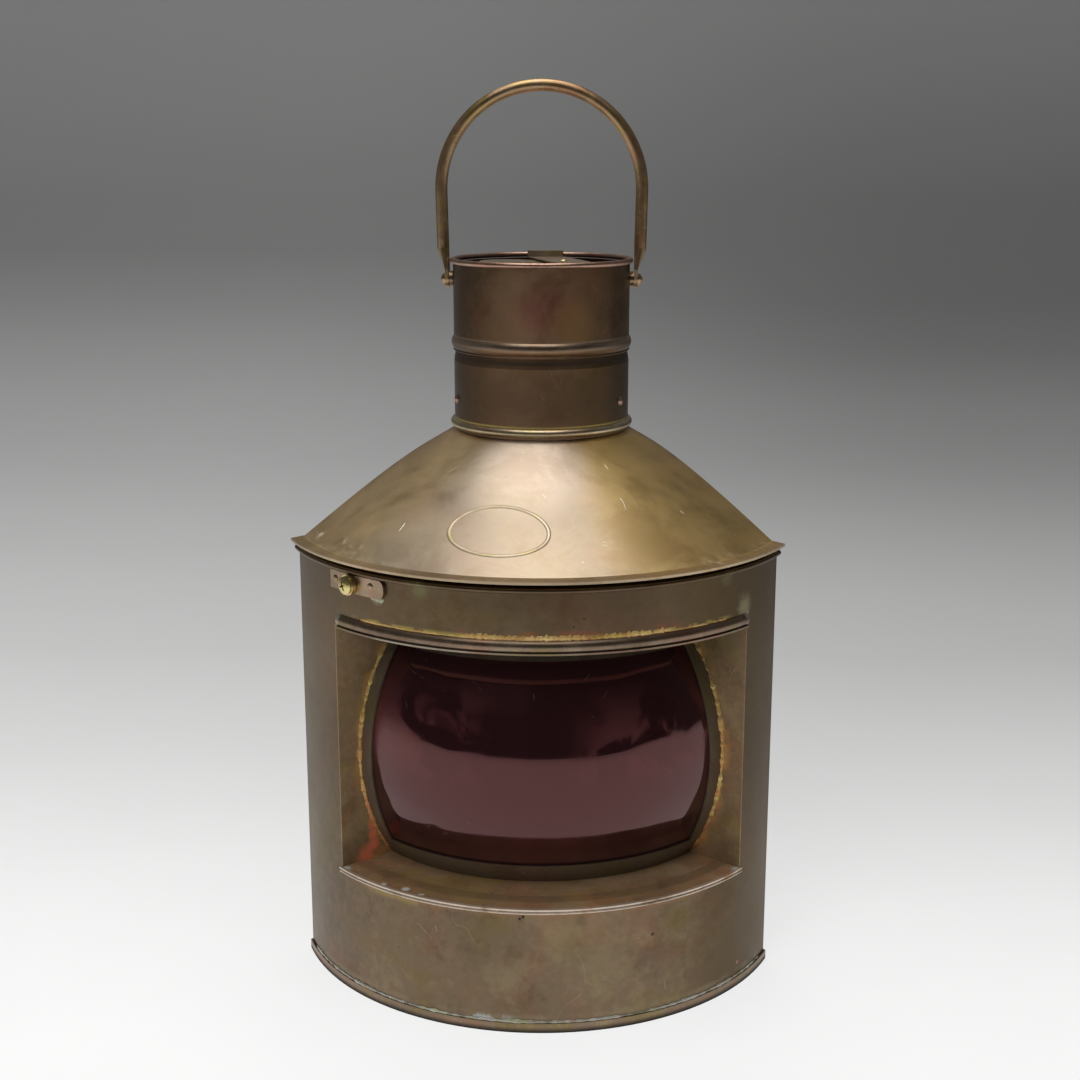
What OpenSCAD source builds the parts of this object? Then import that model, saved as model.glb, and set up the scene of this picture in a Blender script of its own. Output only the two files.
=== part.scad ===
/* [Sheet metal] */
// Thickness of the brass sheet of the body and the roof
sheet = 1; // [0.8:0.1:1.3]
// Thickness of the chimney sheet
tube_sheet = 0.8; // [0.6:0.1:1]
// Gap left in every soldered or riveted seam
seam = 0.1; // [0.05:0.01:0.12]

/* [Body] */
// Outer radius of the curved front wall
wall_r = 130; // [126:1:140]
// Distance from the lamp's axis to the outer faces of the two flat back plates
back_d = 50; // [48:1:56]
// Height of the body's upper edge above the table
body_h = 224; // [222:1:240]
// Height of the base pan's rim
pan_rim_h = 4.8; // [4:0.2:7]
// Radius of the wire in the body's upper edge
rim_wire_r = 1.4; // [1:0.1:1.6]

/* [Window] */
// Angle from the body's front to the window's middle
window_turn = 2.7; // [0:0.1:4]
// Half the window's angle
window_half = 50.8; // [47:0.2:52]
// Height of the sill
sill_z = 65; // [60:1:68]
// Distance from the body's upper edge down to the head's underside
head_drop = 32; // [31:1:38]
// Height of the roll moulding over the window
head_roll_h = 6.6; // [5:0.2:8]
// How far the fold along the sill stands out
sill_fold = 1.3; // [1:0.1:1.6]
// Height of the fold along the sill
sill_fold_h = 2.7; // [2.4:0.1:3.2]

/* [Lens] */
// Depth of the widest place of the barrel-shaped bezel behind the wall
recess_depth = 12; // [10:0.5:15]
// Radius of the barrel's upright curve
barrel_curve = 98; // [94:1:104]
// Distance of the barrel's widest place below the middle of the window
barrel_low = 6.5; // [3:0.5:8]
// Half the angle of the opening in the bezel
opening_half = 45.8; // [42:0.2:46]
// Height of the bezel band under the opening
band_low = 11; // [8:0.5:14]
// Height of the bezel band over the opening
band_high = 13; // [10:0.5:15]
// Thickness of the red glass
glass_t = 3; // [2.5:0.1:3.5]
// How far the glass reaches behind the bezel
glass_lap = 4; // [3:0.5:5]

/* [Roof] */
// Height of the line where the cone turns into the brim, above the body's upper edge
brim_rise = 3.4; // [3:0.1:6]
// Distance of that line inside the wall
brim_in = 3.3; // [2.5:0.1:6]
// How far the brim's edge stands out past the wall
brim_out = 4.7; // [3:0.1:7]
// How far the brim drops to its edge
brim_drop = 0.1; // [0.1:0.1:1]
// Height of the cone's upper end above the brim line
cone_rise = 47.6; // [44:0.2:52]
// Radial room between the wall and the skirt under the roof
skirt_gap = 1.5; // [1.3:0.1:2]
// Half the angle of the skirt
skirt_half = 58; // [54:1:59]
// How far the skirt reaches down into the body
skirt_depth = 17; // [15:1:20]

/* [Chimney] */
// Outer radius of the lower tube
tube_r = 45.2; // [43:0.2:47]
// Height of the half-round ring above the cone's upper end
ring_rise = 4.9; // [4.2:0.1:8]
// How far the ring stands out from the tube
ring_out = 2; // [1.6:0.1:2.2]
// Height of the upper tube's lower edge above the cone's upper end
lower_tube_h = 42.2; // [36:0.2:50]
// Height of the rim wire's centre above the upper tube's lower edge
upper_tube_h = 45.4; // [42:0.2:52]
// Half the height of the bead round the upper tube
bead_half_h = 3.1; // [2.4:0.1:3.4]
// How far the bead stands out from the upper tube
bead_out = 1.2; // [1:0.1:1.6]
// Radius of the rim wire
rim_r = 1.4; // [1.1:0.1:1.5]
// Radius of the baffle plate in the chimney's mouth
baffle_r = 32; // [28:1:34]
// Width of the strap that holds the baffle
strap_w = 19; // [14:1:20]

/* [Bail] */
// Height of the bail's pivots below the rim wire
pivot_drop = 9.6; // [9:0.2:12]
// Radius of the bail's round tube
bail_tube_r = 3.1; // [2.8:0.1:3.3]
// Distance from the inner face of the ears to the middle of the arch's tube
bail_reach = 3.5; // [3.3:0.1:6.5]
// Height of the arch's centre above the pivots
bail_leg_h = 45; // [42:1:55]
// How far the legs lean in below the arch, in degrees
bail_lean = 1.2; // [0.5:0.1:2]
// Thickness of the flattened ears
ear_t = 1.8; // [1.4:0.1:2]
// Width of the flattened ears
ear_w = 9; // [8:0.2:10]
// Radius of the rivets that the bail swings on
bail_rivet_r = 1.6; // [1.4:0.1:1.8]

/* [Lock] */
// Angle of the lock screw from the body's front
lock_a = -41; // [-45:0.1:-38]
// Room between the lock's washer and the wire in the body's upper edge
lock_room = 0.2; // [0.1:0.1:2]
// Radius of the lock screw's shank
lock_screw_r = 2; // [1.5:0.1:2.2]
// Radius of the lock screw's head
lock_head_r = 4.4; // [4:0.1:4.8]
// Radius of the washer
washer_r = 5; // [4.8:0.1:5.4]
// Thickness of the lock plate
lock_plate_t = 1.6; // [1.2:0.1:2]

/* [Hinge] */
// Radius of the hinge pin
pin_r = 1.5; // [1.2:0.1:1.7]
// Radial clearance on the hinge pin and on the bail's rivets
pivot_play = 0.08; // [0.04:0.01:0.1]
// Half the length of the hinge
hinge_half = 20; // [16:1:24]
// Thickness of the hinge leaves
leaf_t = 1; // [0.8:0.1:1.2]
// Height of each hinge leaf
leaf_h = 18; // [16:1:22]

/* [Oil lamp] */
// Outer radius of the oil font
font_r = 41; // [36:1:46]
// Height of the font's shoulder
font_shoulder_z = 44; // [38:1:50]
// Height of the font's top
font_top_z = 54; // [52:1:60]
// Width of the flat wick
wick_w = 20; // [16:1:22]
// Thickness of the flat wick
wick_t = 3; // [2:0.5:3.5]
// Radius of the spur wheels that raise the wick
spur_r = 4; // [3.4:0.2:4.4]
// Radius of the winder knob
knob_r = 8; // [6:0.5:9]
// Distance of the winder knob from the lamp's axis
knob_x = 34; // [30:1:38]

/* [Hidden] */
$fn = 96;
brass = [0.5, 0.42, 0.28];
bright_brass = [0.78, 0.64, 0.36];
dark_brass = [0.32, 0.25, 0.18];

// Plan of the body
reach = 3 * wall_r;
back_turn = 45;
corner_a = 180 - back_turn - acos(back_d / wall_r);
pan_r = wall_r + seam + sheet;

// Window and lens
left_a = window_turn - window_half;
right_a = window_turn + window_half;
seam_a = 0.05;
head_z = body_h - head_drop;
barrel_r = wall_r - recess_depth;
barrel_z = (sill_z + head_z) / 2 - barrel_low;
barrel_in = barrel_r - barrel_curve;
plate_lap = 3;
sill_r = sqrt(pow(barrel_curve, 2) - pow(barrel_z - sill_z, 2)) + barrel_in - plate_lap;
head_r = sqrt(pow(barrel_curve, 2) - pow(head_z - barrel_z, 2)) + barrel_in - plate_lap;
opening_z0 = sill_z + band_low;
opening_z1 = head_z - band_high;
glass_z0 = opening_z0 - glass_lap;
glass_z1 = opening_z1 + glass_lap;
glass_half = opening_half + 1.8;
clip_t = 0.8;
clip_half = 2;
clip_tail = 5;
clip_bite = 3.5;

// Roof
brim_z = body_h + brim_rise;
brim_r = wall_r - brim_in;
edge_r = wall_r + brim_out;
neck_r = tube_r - tube_sheet - seam;
cone_r = tube_r + ring_out;
cone_z = brim_z + cone_rise;
slope = cone_rise / (brim_r - cone_r);
roof_t = sheet * sqrt(1 + slope * slope);
neck_h = 21;
roof_seat = body_h + seam;
plate_end_r = wall_r - 2;
skirt_r = wall_r - sheet - skirt_gap;

// Chimney
bell_z = cone_z + lower_tube_h;
rim_z = bell_z + upper_tube_h;
ring_z = cone_z + ring_rise;
chimney_rivet_z = ring_z + 13;
chimney_rivet_angles = [-70, 65, 177];
rivet_shank_r = 1.2;
drill_l = 20;
upper_r = tube_r + seam;
swage_r = upper_r - tube_sheet - seam;
swage_h = 5;
hem_r = 0.5;
bead_z = bell_z + bead_half_h + 2 * hem_r + 0.2;
bead_r = (bead_half_h * bead_half_h + bead_out * bead_out) / (2 * bead_out);
bead_centre_r = upper_r + bead_out - bead_r;
tube_top_z = rim_z - rim_r - seam;
rim_centre_r = upper_r + 0.3;
strap_z = rim_z - 1.6;
strap_t = 0.7;
strap_turn = 20;
baffle_t = 0.8;
baffle_tilt = 3;
baffle_z = strap_z - 1.2;
baffle_rivet_at = [11, 8];

// Bail
pivot_z = rim_z - pivot_drop;
spacer_r = 3.9;
spacer_t = 2;
spacer_x = upper_r + seam;
ear_x = spacer_x + spacer_t + seam;
bail_arch_r = ear_x + bail_reach;
ear_top = 5;
leg_low = 15;
rivet_head_r = 3;
rivet_head_h = 2.4;

// Lock
lock_z = body_h - 2 * rim_wire_r - washer_r - lock_room;
lock_plate_h = 9;
lock_plate_z = lock_z - lock_plate_h / 2 + 0.4;
lock_plate_a1 = lock_a - 6.9;
lock_plate_a2 = lock_a + 9.6;
lock_rivet_r = 1;
washer_t = 2;
nut_r = 3.9;
nut_t = 3.2;
plate_face = wall_r + seam + lock_plate_t;
washer_face = plate_face + seam + washer_t;

// Hinge, in a frame whose x points out of the right back plate
knuckle_r = pin_r + 1.4;
hinge_x = back_d + seam + knuckle_r;
knuckle_gap = 0.3;
mid_half = hinge_half / 3;
hinge_rivet_y = hinge_half - 7;

// Lamp
pan_t = sheet;
font_wall = 1;
collar_r = 15;
stem_r = 12.5;
collar_h = 6;
burner_z = font_top_z + seam + collar_h + seam;
burner_r = 16;
gallery_r = 20.5;
gallery_z = burner_z + 16;
shaft_z = burner_z + 10;
shaft_r = 1.2;
wick_play = 0.5;
wick_wall = 0.6;
spur_gap = 0.3;
shaft_y = wick_t / 2 + spur_gap + spur_r;
spur_x = 5;
spur_w = 1.6;
wick_top = gallery_z + 16.5;
slot_w = wick_w + 4;
slot_d = wick_t + 4;

// Height of the roof's outer surface at a distance from the axis
function roof_z(r) = r > brim_r ?
    brim_z - brim_drop * (r - brim_r) / (edge_r - brim_r) :
    cone_z - (r - cone_r) * slope;

// Height just under the roof's sheet
function under_roof(r) = roof_z(r) - roof_t - seam;

// Plan between the two flat back planes, at the given distances from the axis
module between_backs(right_d, left_d) {
    intersection() {
        rotate(back_turn) translate([-reach, -reach]) square([reach + right_d, 2 * reach]);
        rotate(180 - back_turn) translate([-reach, -reach]) square([reach + left_d, 2 * reach]);
    }
}

// Solid plan of the body with a given arc and back distance
module body_plan(r, d) {
    intersection() {
        circle(r = r);
        between_backs(d, d);
    }
}

// Turns a profile about the lamp's axis between two angles from the front
module swept(a1, a2) {
    rotate([0, 0, a1 - 90]) rotate_extrude(angle = a2 - a1) children();
}

// Points the x axis out of the front at an angle
module facing(a) {
    rotate([0, 0, a - 90]) children();
}

// Stands a profile up as a plate in the plane of the x and z axes, on the side of growing angle
module upright(t) {
    translate([0, t, 0]) rotate([90, 0, 0]) linear_extrude(height = t) children();
}

// Cylinder along the x axis
module rod_x(r, x0, x1) {
    translate([x0, 0, 0]) rotate([0, 90, 0]) cylinder(r = r, h = x1 - x0);
}

// Turns a profile about the x axis: the profile's x is the radius, its y runs along the axis
module turned_x() {
    rotate([0, 90, 0]) rotate_extrude() children();
}

// Profile of a low dome on a flat at a height
module dome_profile(r, at, h) {
    rise = (r * r + h * h) / (2 * h);
    intersection() {
        translate([0, at + h - rise]) circle(r = rise);
        translate([0, at]) square([r, h]);
    }
}

// Rivet along the x axis, with a dome outside and a flat head inside
module rivet_x(shank, x0, x1, head, head_h, tail, tail_h) {
    turned_x() {
        translate([0, x0 - tail_h]) square([tail, tail_h]);
        translate([0, x0 - tail_h]) square([shank, x1 + head_h / 2 - x0 + tail_h]);
        dome_profile(head, x1, head_h);
    }
}

// Profile of the barrel between two depths under its surface and two heights
module barrel_band(top, bottom, z0, z1) {
    intersection() {
        translate([barrel_in, barrel_z]) difference() {
            circle(r = barrel_curve - top);
            circle(r = barrel_curve - bottom);
        }
        translate([barrel_in + seam, z0]) square([barrel_curve, z1 - z0]);
    }
}

// Frame of the hinge, on the right back plate
module at_hinge() {
    rotate([0, 0, back_turn]) children();
}

// The two rivet places of a hinge leaf
module at_hinge_rivets(z) {
    at_hinge() for (side = [-1, 1]) translate([0, side * hinge_rivet_y, z]) children();
}

module lock_rivet_places() {
    facing(lock_a - 4.9) translate([0, 0, lock_z + 1]) children();
    facing(lock_a + 6.1) translate([0, 0, lock_z + 1.4]) children();
}

module front_wall() {
    color(brass) difference() {
        translate([0, 0, pan_t]) linear_extrude(height = body_h - pan_t) intersection() {
            difference() {
                circle(r = wall_r);
                circle(r = wall_r - sheet);
            }
            between_backs(back_d - sheet - seam, back_d - sheet - seam);
        }
        swept(left_a, right_a) translate([wall_r - 2 * sheet, sill_z - sheet - seam])
            square([4 * sheet, head_z - sill_z + 2 * sheet + 2 * seam]);
        facing(lock_a) translate([0, 0, lock_z]) rod_x(lock_screw_r + seam, wall_r - 5, wall_r + 5);
        lock_rivet_places() rod_x(lock_rivet_r + pivot_play, wall_r - 5, wall_r + 5);
    }
}

module back_plate_holes() {
    at_hinge_rivets(body_h - leaf_h + 6) rod_x(rivet_shank_r + pivot_play, back_d - 5, back_d + 5);
}

module left_back_plate() {
    color(brass) translate([0, 0, pan_t]) linear_extrude(height = body_h - pan_t) difference() {
        body_plan(wall_r, back_d);
        between_backs(reach, back_d - sheet);
    }
}

module right_back_plate() {
    color(brass) difference() {
        translate([0, 0, pan_t]) linear_extrude(height = body_h - pan_t) difference() {
            intersection() {
                circle(r = wall_r);
                between_backs(back_d, back_d - sheet - seam);
            }
            between_backs(back_d - sheet, reach);
        }
        back_plate_holes();
    }
}

module base_pan() {
    color(dark_brass) {
        linear_extrude(height = pan_t) body_plan(pan_r, back_d + seam + sheet);
        linear_extrude(height = pan_rim_h) difference() {
            body_plan(pan_r, back_d + seam + sheet);
            body_plan(wall_r + seam, back_d + seam);
        }
    }
}

module top_rim() {
    color(dark_brass) swept(-corner_a + 1, corner_a - 1)
        translate([wall_r + seam + rim_wire_r, body_h - rim_wire_r]) circle(r = rim_wire_r);
}

module window_head() {
    roll_r = head_roll_h / 2;
    roll_in = 1.2;
    color(brass) {
        swept(left_a + seam_a, right_a - seam_a) translate([head_r, head_z])
            square([wall_r + 2 * seam - head_r, sheet]);
        swept(left_a + 1.9, right_a - 0.9) translate([wall_r + seam, head_z]) {
            square([sheet * 2.2, sheet * 0.9]);
            intersection() {
                translate([-roll_in, roll_r + 0.2]) circle(r = roll_r + seam);
                square([head_roll_h, head_roll_h]);
            }
        }
    }
}

module window_sill() {
    fold_t = 0.8;
    fold_r = 0.6;
    color(brass) {
        swept(left_a + seam_a, right_a - seam_a) translate([sill_r, sill_z - sheet])
            square([wall_r + 2 * seam - sill_r, sheet]);
        swept(left_a, right_a) translate([wall_r + seam, sill_z]) {
            translate([0, fold_r - sill_fold_h]) square([sill_fold / 3, sill_fold_h - fold_r]);
            translate([0, -fold_t]) square([sill_fold, fold_t]);
            translate([fold_r, fold_r - sill_fold_h]) circle(r = fold_r);
        }
    }
}

// Upright plate between the wall's cut edge and the barrel
module cheek() {
    upright(sheet) difference() {
        translate([barrel_in, sill_z]) square([wall_r - barrel_in, head_z - sill_z]);
        translate([barrel_in, barrel_z]) circle(r = barrel_curve + seam);
    }
}

module left_cheek() {
    color(brass) facing(left_a + seam_a) cheek();
}

module right_cheek() {
    color(brass) facing(right_a - seam_a) translate([0, -sheet, 0]) cheek();
}

module lens_bezel() {
    color(brass) difference() {
        swept(left_a + seam_a, right_a - seam_a) barrel_band(0, sheet, sill_z, head_z);
        swept(window_turn - opening_half, window_turn + opening_half)
            barrel_band(-sheet, 2 * sheet, opening_z0, opening_z1);
    }
}

module lens_glass() {
    color([0.35, 0.02, 0.04, 0.6]) swept(window_turn - glass_half, window_turn + glass_half)
        barrel_band(sheet + seam, sheet + seam + glass_t, glass_z0, glass_z1);
}

// Bent tab over or under the glass: a foot on the bezel, a step and a lip behind the glass
module clip_profile(foot_z0, foot_z1, lip_z0, lip_z1) {
    back = sheet + 2 * seam + glass_t;
    barrel_band(sheet + seam, sheet + seam + clip_t, foot_z0, foot_z1);
    barrel_band(back, back + clip_t, lip_z0, lip_z1);
}

module lens_clips() {
    back = sheet + 2 * seam + glass_t + clip_t;
    color(bright_brass) for (a = [-0.6, 0.6]) {
        mid = window_turn + a * opening_half;
        swept(mid - clip_half, mid + clip_half) {
            clip_profile(glass_z1 + seam, glass_z1 + clip_tail, glass_z1 - clip_bite,
                glass_z1 + seam + clip_t);
            barrel_band(sheet + seam, back, glass_z1 + seam, glass_z1 + seam + clip_t);
        }
        swept(mid - clip_half, mid + clip_half) {
            clip_profile(glass_z0 - clip_tail, glass_z0 - seam, glass_z0 - seam - clip_t,
                glass_z0 + clip_bite);
            barrel_band(sheet + seam, back, glass_z0 - seam - clip_t, glass_z0 - seam);
        }
    }
}

module lock_plate() {
    corner_r = 3;
    mid_a = (lock_plate_a1 + lock_plate_a2) / 2;
    half_l = wall_r * sin((lock_plate_a2 - lock_plate_a1) / 2);
    color(bright_brass) difference() {
        intersection() {
            swept(lock_plate_a1, lock_plate_a2) translate([wall_r + seam, lock_plate_z])
                square([lock_plate_t, lock_plate_h]);
            facing(mid_a) translate([wall_r - 10, 0, lock_plate_z]) rotate([90, 0, 90])
                linear_extrude(height = drill_l) {
                translate([-half_l - 5, 0]) square([2 * half_l + 5 - corner_r, lock_plate_h]);
                translate([-half_l, corner_r]) square([2 * half_l + 5, lock_plate_h - 2 * corner_r]);
                for (z = [corner_r, lock_plate_h - corner_r]) translate([half_l - corner_r, z])
                    circle(r = corner_r);
            }
        }
        facing(lock_a) translate([0, 0, lock_z]) rod_x(lock_screw_r + seam, wall_r - 5, wall_r + 5);
        lock_rivet_places() rod_x(lock_rivet_r + pivot_play, wall_r - 5, wall_r + 5);
    }
}

module lock_plate_rivets() {
    color(bright_brass) lock_rivet_places()
        rivet_x(lock_rivet_r, wall_r - sheet - seam, plate_face + seam, 1.7, 0.5, 1.7, 0.6);
}

module lock_washer() {
    color(bright_brass) facing(lock_a) translate([0, 0, lock_z]) difference() {
        rod_x(washer_r, plate_face + 2 * seam, washer_face + seam);
        rod_x(lock_screw_r + seam, wall_r, wall_r + 10);
    }
}

module lock_screw() {
    head_h = 2.6;
    slot_t = 0.9;
    slot_l = 4.6;
    slot_depth = 1.6;
    head_x = washer_face + 2 * seam;
    color(bright_brass) facing(lock_a) translate([0, 0, lock_z]) difference() {
        turned_x() {
            translate([0, skirt_r - sheet - nut_t - 2])
                square([lock_screw_r, head_x + head_h / 2 - skirt_r + sheet + nut_t + 2]);
            translate([0, head_x]) square([lock_head_r, head_h / 2]);
            dome_profile(lock_head_r, head_x + head_h / 2, head_h / 2);
        }
        for (turn = [20, 110]) translate([head_x + head_h - slot_depth, 0, 0]) rotate([turn, 0, 0])
            translate([0, -slot_t / 2, -slot_l / 2]) cube([slot_depth + 1, slot_t, slot_l]);
    }
}

module lock_nut() {
    nut_x = skirt_r - sheet - 0.3;
    color(bright_brass) facing(lock_a) translate([nut_x - nut_t, 0, lock_z]) difference() {
        rotate([0, 90, 0]) cylinder(r = nut_r, h = nut_t, $fn = 6);
        rod_x(lock_screw_r + pivot_play, -1, nut_t + 1);
    }
}

// Hinge leaf with its knuckles; up is 1 for the lid's leaf and -1 for the body's
module hinge_leaf(up, knuckles) {
    free = knuckle_r + knuckle_gap;
    at_hinge() translate([0, 0, body_h]) difference() {
        union() {
            translate([back_d + seam, -hinge_half, up > 0 ? free : -leaf_h])
                cube([leaf_t, 2 * hinge_half, leaf_h - free]);
            for (k = knuckles) {
                translate([hinge_x, k[0], 0]) rotate([-90, 0, 0]) cylinder(r = knuckle_r, h = k[1] - k[0]);
                translate([back_d + seam, k[0], up > 0 ? 0 : -leaf_h / 2])
                    cube([leaf_t, k[1] - k[0], leaf_h / 2]);
            }
        }
        translate([hinge_x, -hinge_half - 1, 0]) rotate([-90, 0, 0])
            cylinder(r = pin_r + pivot_play, h = 2 * hinge_half + 2);
        for (y = [-hinge_rivet_y, hinge_rivet_y]) translate([0, y, up * (leaf_h - 6)])
            rod_x(rivet_shank_r + pivot_play, back_d, back_d + 5);
    }
}

module body_hinge_leaf() {
    color(bright_brass) hinge_leaf(-1,
        [[-hinge_half, -mid_half - knuckle_gap], [mid_half + knuckle_gap, hinge_half]]);
}

module lid_hinge_leaf() {
    color(bright_brass) hinge_leaf(1, [[-mid_half, mid_half]]);
}

module hinge_rivet() {
    rivet_x(rivet_shank_r, back_d - sheet - seam, back_d + 2 * seam + leaf_t, 2.2, 0.7, 2.2, 0.7);
}

module body_hinge_rivets() {
    color(dark_brass) at_hinge_rivets(body_h - leaf_h + 6) hinge_rivet();
}

module lid_hinge_rivets() {
    color(dark_brass) at_hinge_rivets(body_h + leaf_h - 6) hinge_rivet();
}

module hinge_pin() {
    head_t = 1.2;
    color(dark_brass) at_hinge() translate([hinge_x, 0, body_h]) rotate([-90, 0, 0]) {
        translate([0, 0, -hinge_half - head_t]) cylinder(r = pin_r, h = 2 * hinge_half + 2 * head_t);
        for (end = [-hinge_half - seam - head_t, hinge_half + seam]) translate([0, 0, end])
            cylinder(r = pin_r + 0.7, h = head_t);
    }
}

module font_seat_ring() {
    color(dark_brass) translate([0, 0, pan_t]) difference() {
        cylinder(r = font_r + seam + sheet, h = 8);
        translate([0, 0, -1]) cylinder(r = font_r + seam, h = 10);
    }
}

module oil_font() {
    floor_z = pan_t + seam;
    inner_r = font_r - font_wall;
    neck = stem_r + 2 * seam;
    color(dark_brass) rotate_extrude() polygon([
        [0, floor_z], [font_r, floor_z], [font_r, font_shoulder_z], [collar_r + 1, font_top_z],
        [neck, font_top_z],
        [neck, font_top_z - font_wall], [collar_r, font_top_z - font_wall],
        [inner_r, font_shoulder_z - font_wall], [inner_r, floor_z + font_wall], [0, floor_z + font_wall]
    ]);
}

module font_collar() {
    color(bright_brass) translate([0, 0, font_top_z + seam]) difference() {
        union() {
            cylinder(r = collar_r, h = collar_h);
            cylinder(r = collar_r + 1, h = 1);
        }
        translate([0, 0, -1]) cylinder(r = stem_r + seam, h = collar_h + 2);
    }
}

module shaft_hole() {
    translate([0, shaft_y, shaft_z]) rod_x(shaft_r + pivot_play, -burner_r - 2, burner_r + 2);
}

module burner_body() {
    hole_count = 14;
    hole_r = 1.8;
    plate_t = 2;
    color(bright_brass) difference() {
        union() {
            translate([0, 0, burner_z]) cylinder(r = collar_r + 2, h = plate_t);
            translate([0, 0, font_top_z - 1]) cylinder(r = stem_r, h = burner_z - font_top_z + 1.5);
            rotate_extrude() translate([burner_r - sheet, burner_z + sheet])
                square([sheet, gallery_z - burner_z]);
            rotate_extrude() translate([burner_r - sheet, gallery_z])
                square([gallery_r - burner_r + sheet, sheet]);
        }
        translate([0, 0, font_top_z - 2]) cylinder(r = stem_r - sheet, h = burner_z - font_top_z + 1);
        translate([0, 0, burner_z]) cube([wick_w + 2 * wick_play + 2 * wick_wall + 2 * seam,
            wick_t + 2 * wick_play + 2 * wick_wall + 2 * seam, 4 * plate_t], center = true);
        for (i = [0 : hole_count - 1]) facing((i + 0.5) * 360 / hole_count)
            translate([0, 0, burner_z + 5]) rod_x(hole_r, burner_r - 3, burner_r + 2);
        shaft_hole();
    }
}

module wick_tube() {
    inner = [wick_w + 2 * wick_play, wick_t + 2 * wick_play];
    outer = [inner[0] + 2 * wick_wall, inner[1] + 2 * wick_wall];
    low = font_top_z - 4;
    window_h = 2 * spur_r + 3;
    color(bright_brass) difference() {
        translate([-outer[0] / 2, -outer[1] / 2, low]) cube([outer[0], outer[1], wick_top - 3 - low]);
        translate([-inner[0] / 2, -inner[1] / 2, low - 1]) cube([inner[0], inner[1], wick_top]);
        for (side = [-1, 1]) translate([side * spur_x - spur_w / 2 - 1, 0, shaft_z - window_h / 2])
            cube([spur_w + 2, outer[1], window_h]);
    }
}

module flame_deflector() {
    dome_r = gallery_r - 0.5;
    color(bright_brass) translate([0, 0, gallery_z + sheet + seam]) difference() {
        intersection() {
            difference() {
                sphere(r = dome_r);
                sphere(r = dome_r - tube_sheet);
            }
            cylinder(r = dome_r + 1, h = dome_r + 1);
        }
        translate([0, 0, dome_r]) cube([slot_w, slot_d, dome_r], center = true);
    }
}

module wick() {
    color("white") translate([-wick_w / 2, -wick_t / 2, 8]) cube([wick_w, wick_t, wick_top - 8]);
}

// Spur wheel with pointed teeth, along the x axis
module spur_wheel() {
    teeth = 10;
    rotate([0, 90, 0]) linear_extrude(height = spur_w, center = true) polygon([
        for (i = [0 : 2 * teeth - 1]) let (r = i % 2 == 0 ? spur_r : spur_r - 1, a = 180 * i / teeth)
            [r * cos(a), r * sin(a)]
    ]);
}

module wick_shaft() {
    color(bright_brass) translate([0, shaft_y, shaft_z]) {
        rod_x(shaft_r, -burner_r - 1.5, knob_x + 2);
        rod_x(shaft_r + 0.7, -burner_r - 1.6, -burner_r - 0.4);
        for (side = [-1, 1]) translate([side * spur_x, 0, 0]) spur_wheel();
    }
}

module winder_knob() {
    knob_t = 3;
    grooves = 24;
    color(bright_brass) translate([knob_x, shaft_y, shaft_z]) difference() {
        union() {
            rod_x(knob_r, 0, knob_t);
            rod_x(3, -4, knob_t);
        }
        rod_x(shaft_r + seam / 2, -5, 2 + seam / 2);
        for (i = [0 : grooves - 1]) rotate([i * 360 / grooves, 0, 0]) translate([0, knob_r + 0.4, 0])
            rod_x(0.8, -1, knob_t + 1);
    }
}

module roof_cone() {
    color(brass) intersection() {
        rotate_extrude() polygon([
            [edge_r, roof_z(edge_r)], [brim_r, brim_z], [neck_r, roof_z(neck_r)],
            [neck_r, cone_z + neck_h],
            [neck_r - tube_sheet, cone_z + neck_h],
            [neck_r - tube_sheet, roof_z(neck_r - tube_sheet) - roof_t],
            [brim_r, brim_z - roof_t], [edge_r, roof_z(edge_r) - roof_t]
        ]);
        difference() {
            translate([0, 0, body_h]) linear_extrude(height = rim_z - body_h)
                between_backs(back_d, back_d);
            for (a = chimney_rivet_angles) facing(a) translate([0, 0, chimney_rivet_z])
                rod_x(rivet_shank_r + pivot_play, tube_r - 5, tube_r + 5);
        }
    }
}

// Space under the roof's sheet and over the body's upper edge
module roof_room() {
    rotate_extrude() polygon([
        [0, roof_seat], [plate_end_r, roof_seat], [plate_end_r, under_roof(plate_end_r)],
        [brim_r, under_roof(brim_r)],
        [back_d - 2 * sheet, under_roof(back_d - 2 * sheet)], [0, under_roof(back_d - 2 * sheet)]
    ]);
}

module left_roof_back_plate() {
    color(brass) intersection() {
        roof_room();
        translate([0, 0, body_h]) linear_extrude(height = 2 * cone_rise) difference() {
            between_backs(back_d, back_d);
            between_backs(reach, back_d - sheet);
        }
    }
}

module right_roof_back_plate() {
    color(brass) difference() {
        intersection() {
            roof_room();
            translate([0, 0, body_h]) linear_extrude(height = 2 * cone_rise) difference() {
                between_backs(back_d, back_d - sheet - seam);
                between_backs(back_d - sheet, reach);
            }
        }
        at_hinge_rivets(body_h + leaf_h - 6) rod_x(rivet_shank_r + pivot_play, back_d - 5, back_d + 5);
    }
}

module lid_skirt() {
    slot_r = lock_screw_r + 0.3;
    skirt_z = body_h - skirt_depth;
    color(brass) difference() {
        swept(-skirt_half, skirt_half) translate([skirt_r - sheet, skirt_z])
            square([sheet, under_roof(skirt_r) - skirt_z]);
        facing(lock_a) translate([0, 0, lock_z]) {
            rod_x(slot_r, skirt_r - 5, skirt_r + 5);
            translate([skirt_r - 5, -slot_r, -skirt_depth]) cube([10, 2 * slot_r, skirt_depth]);
        }
    }
}

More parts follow.
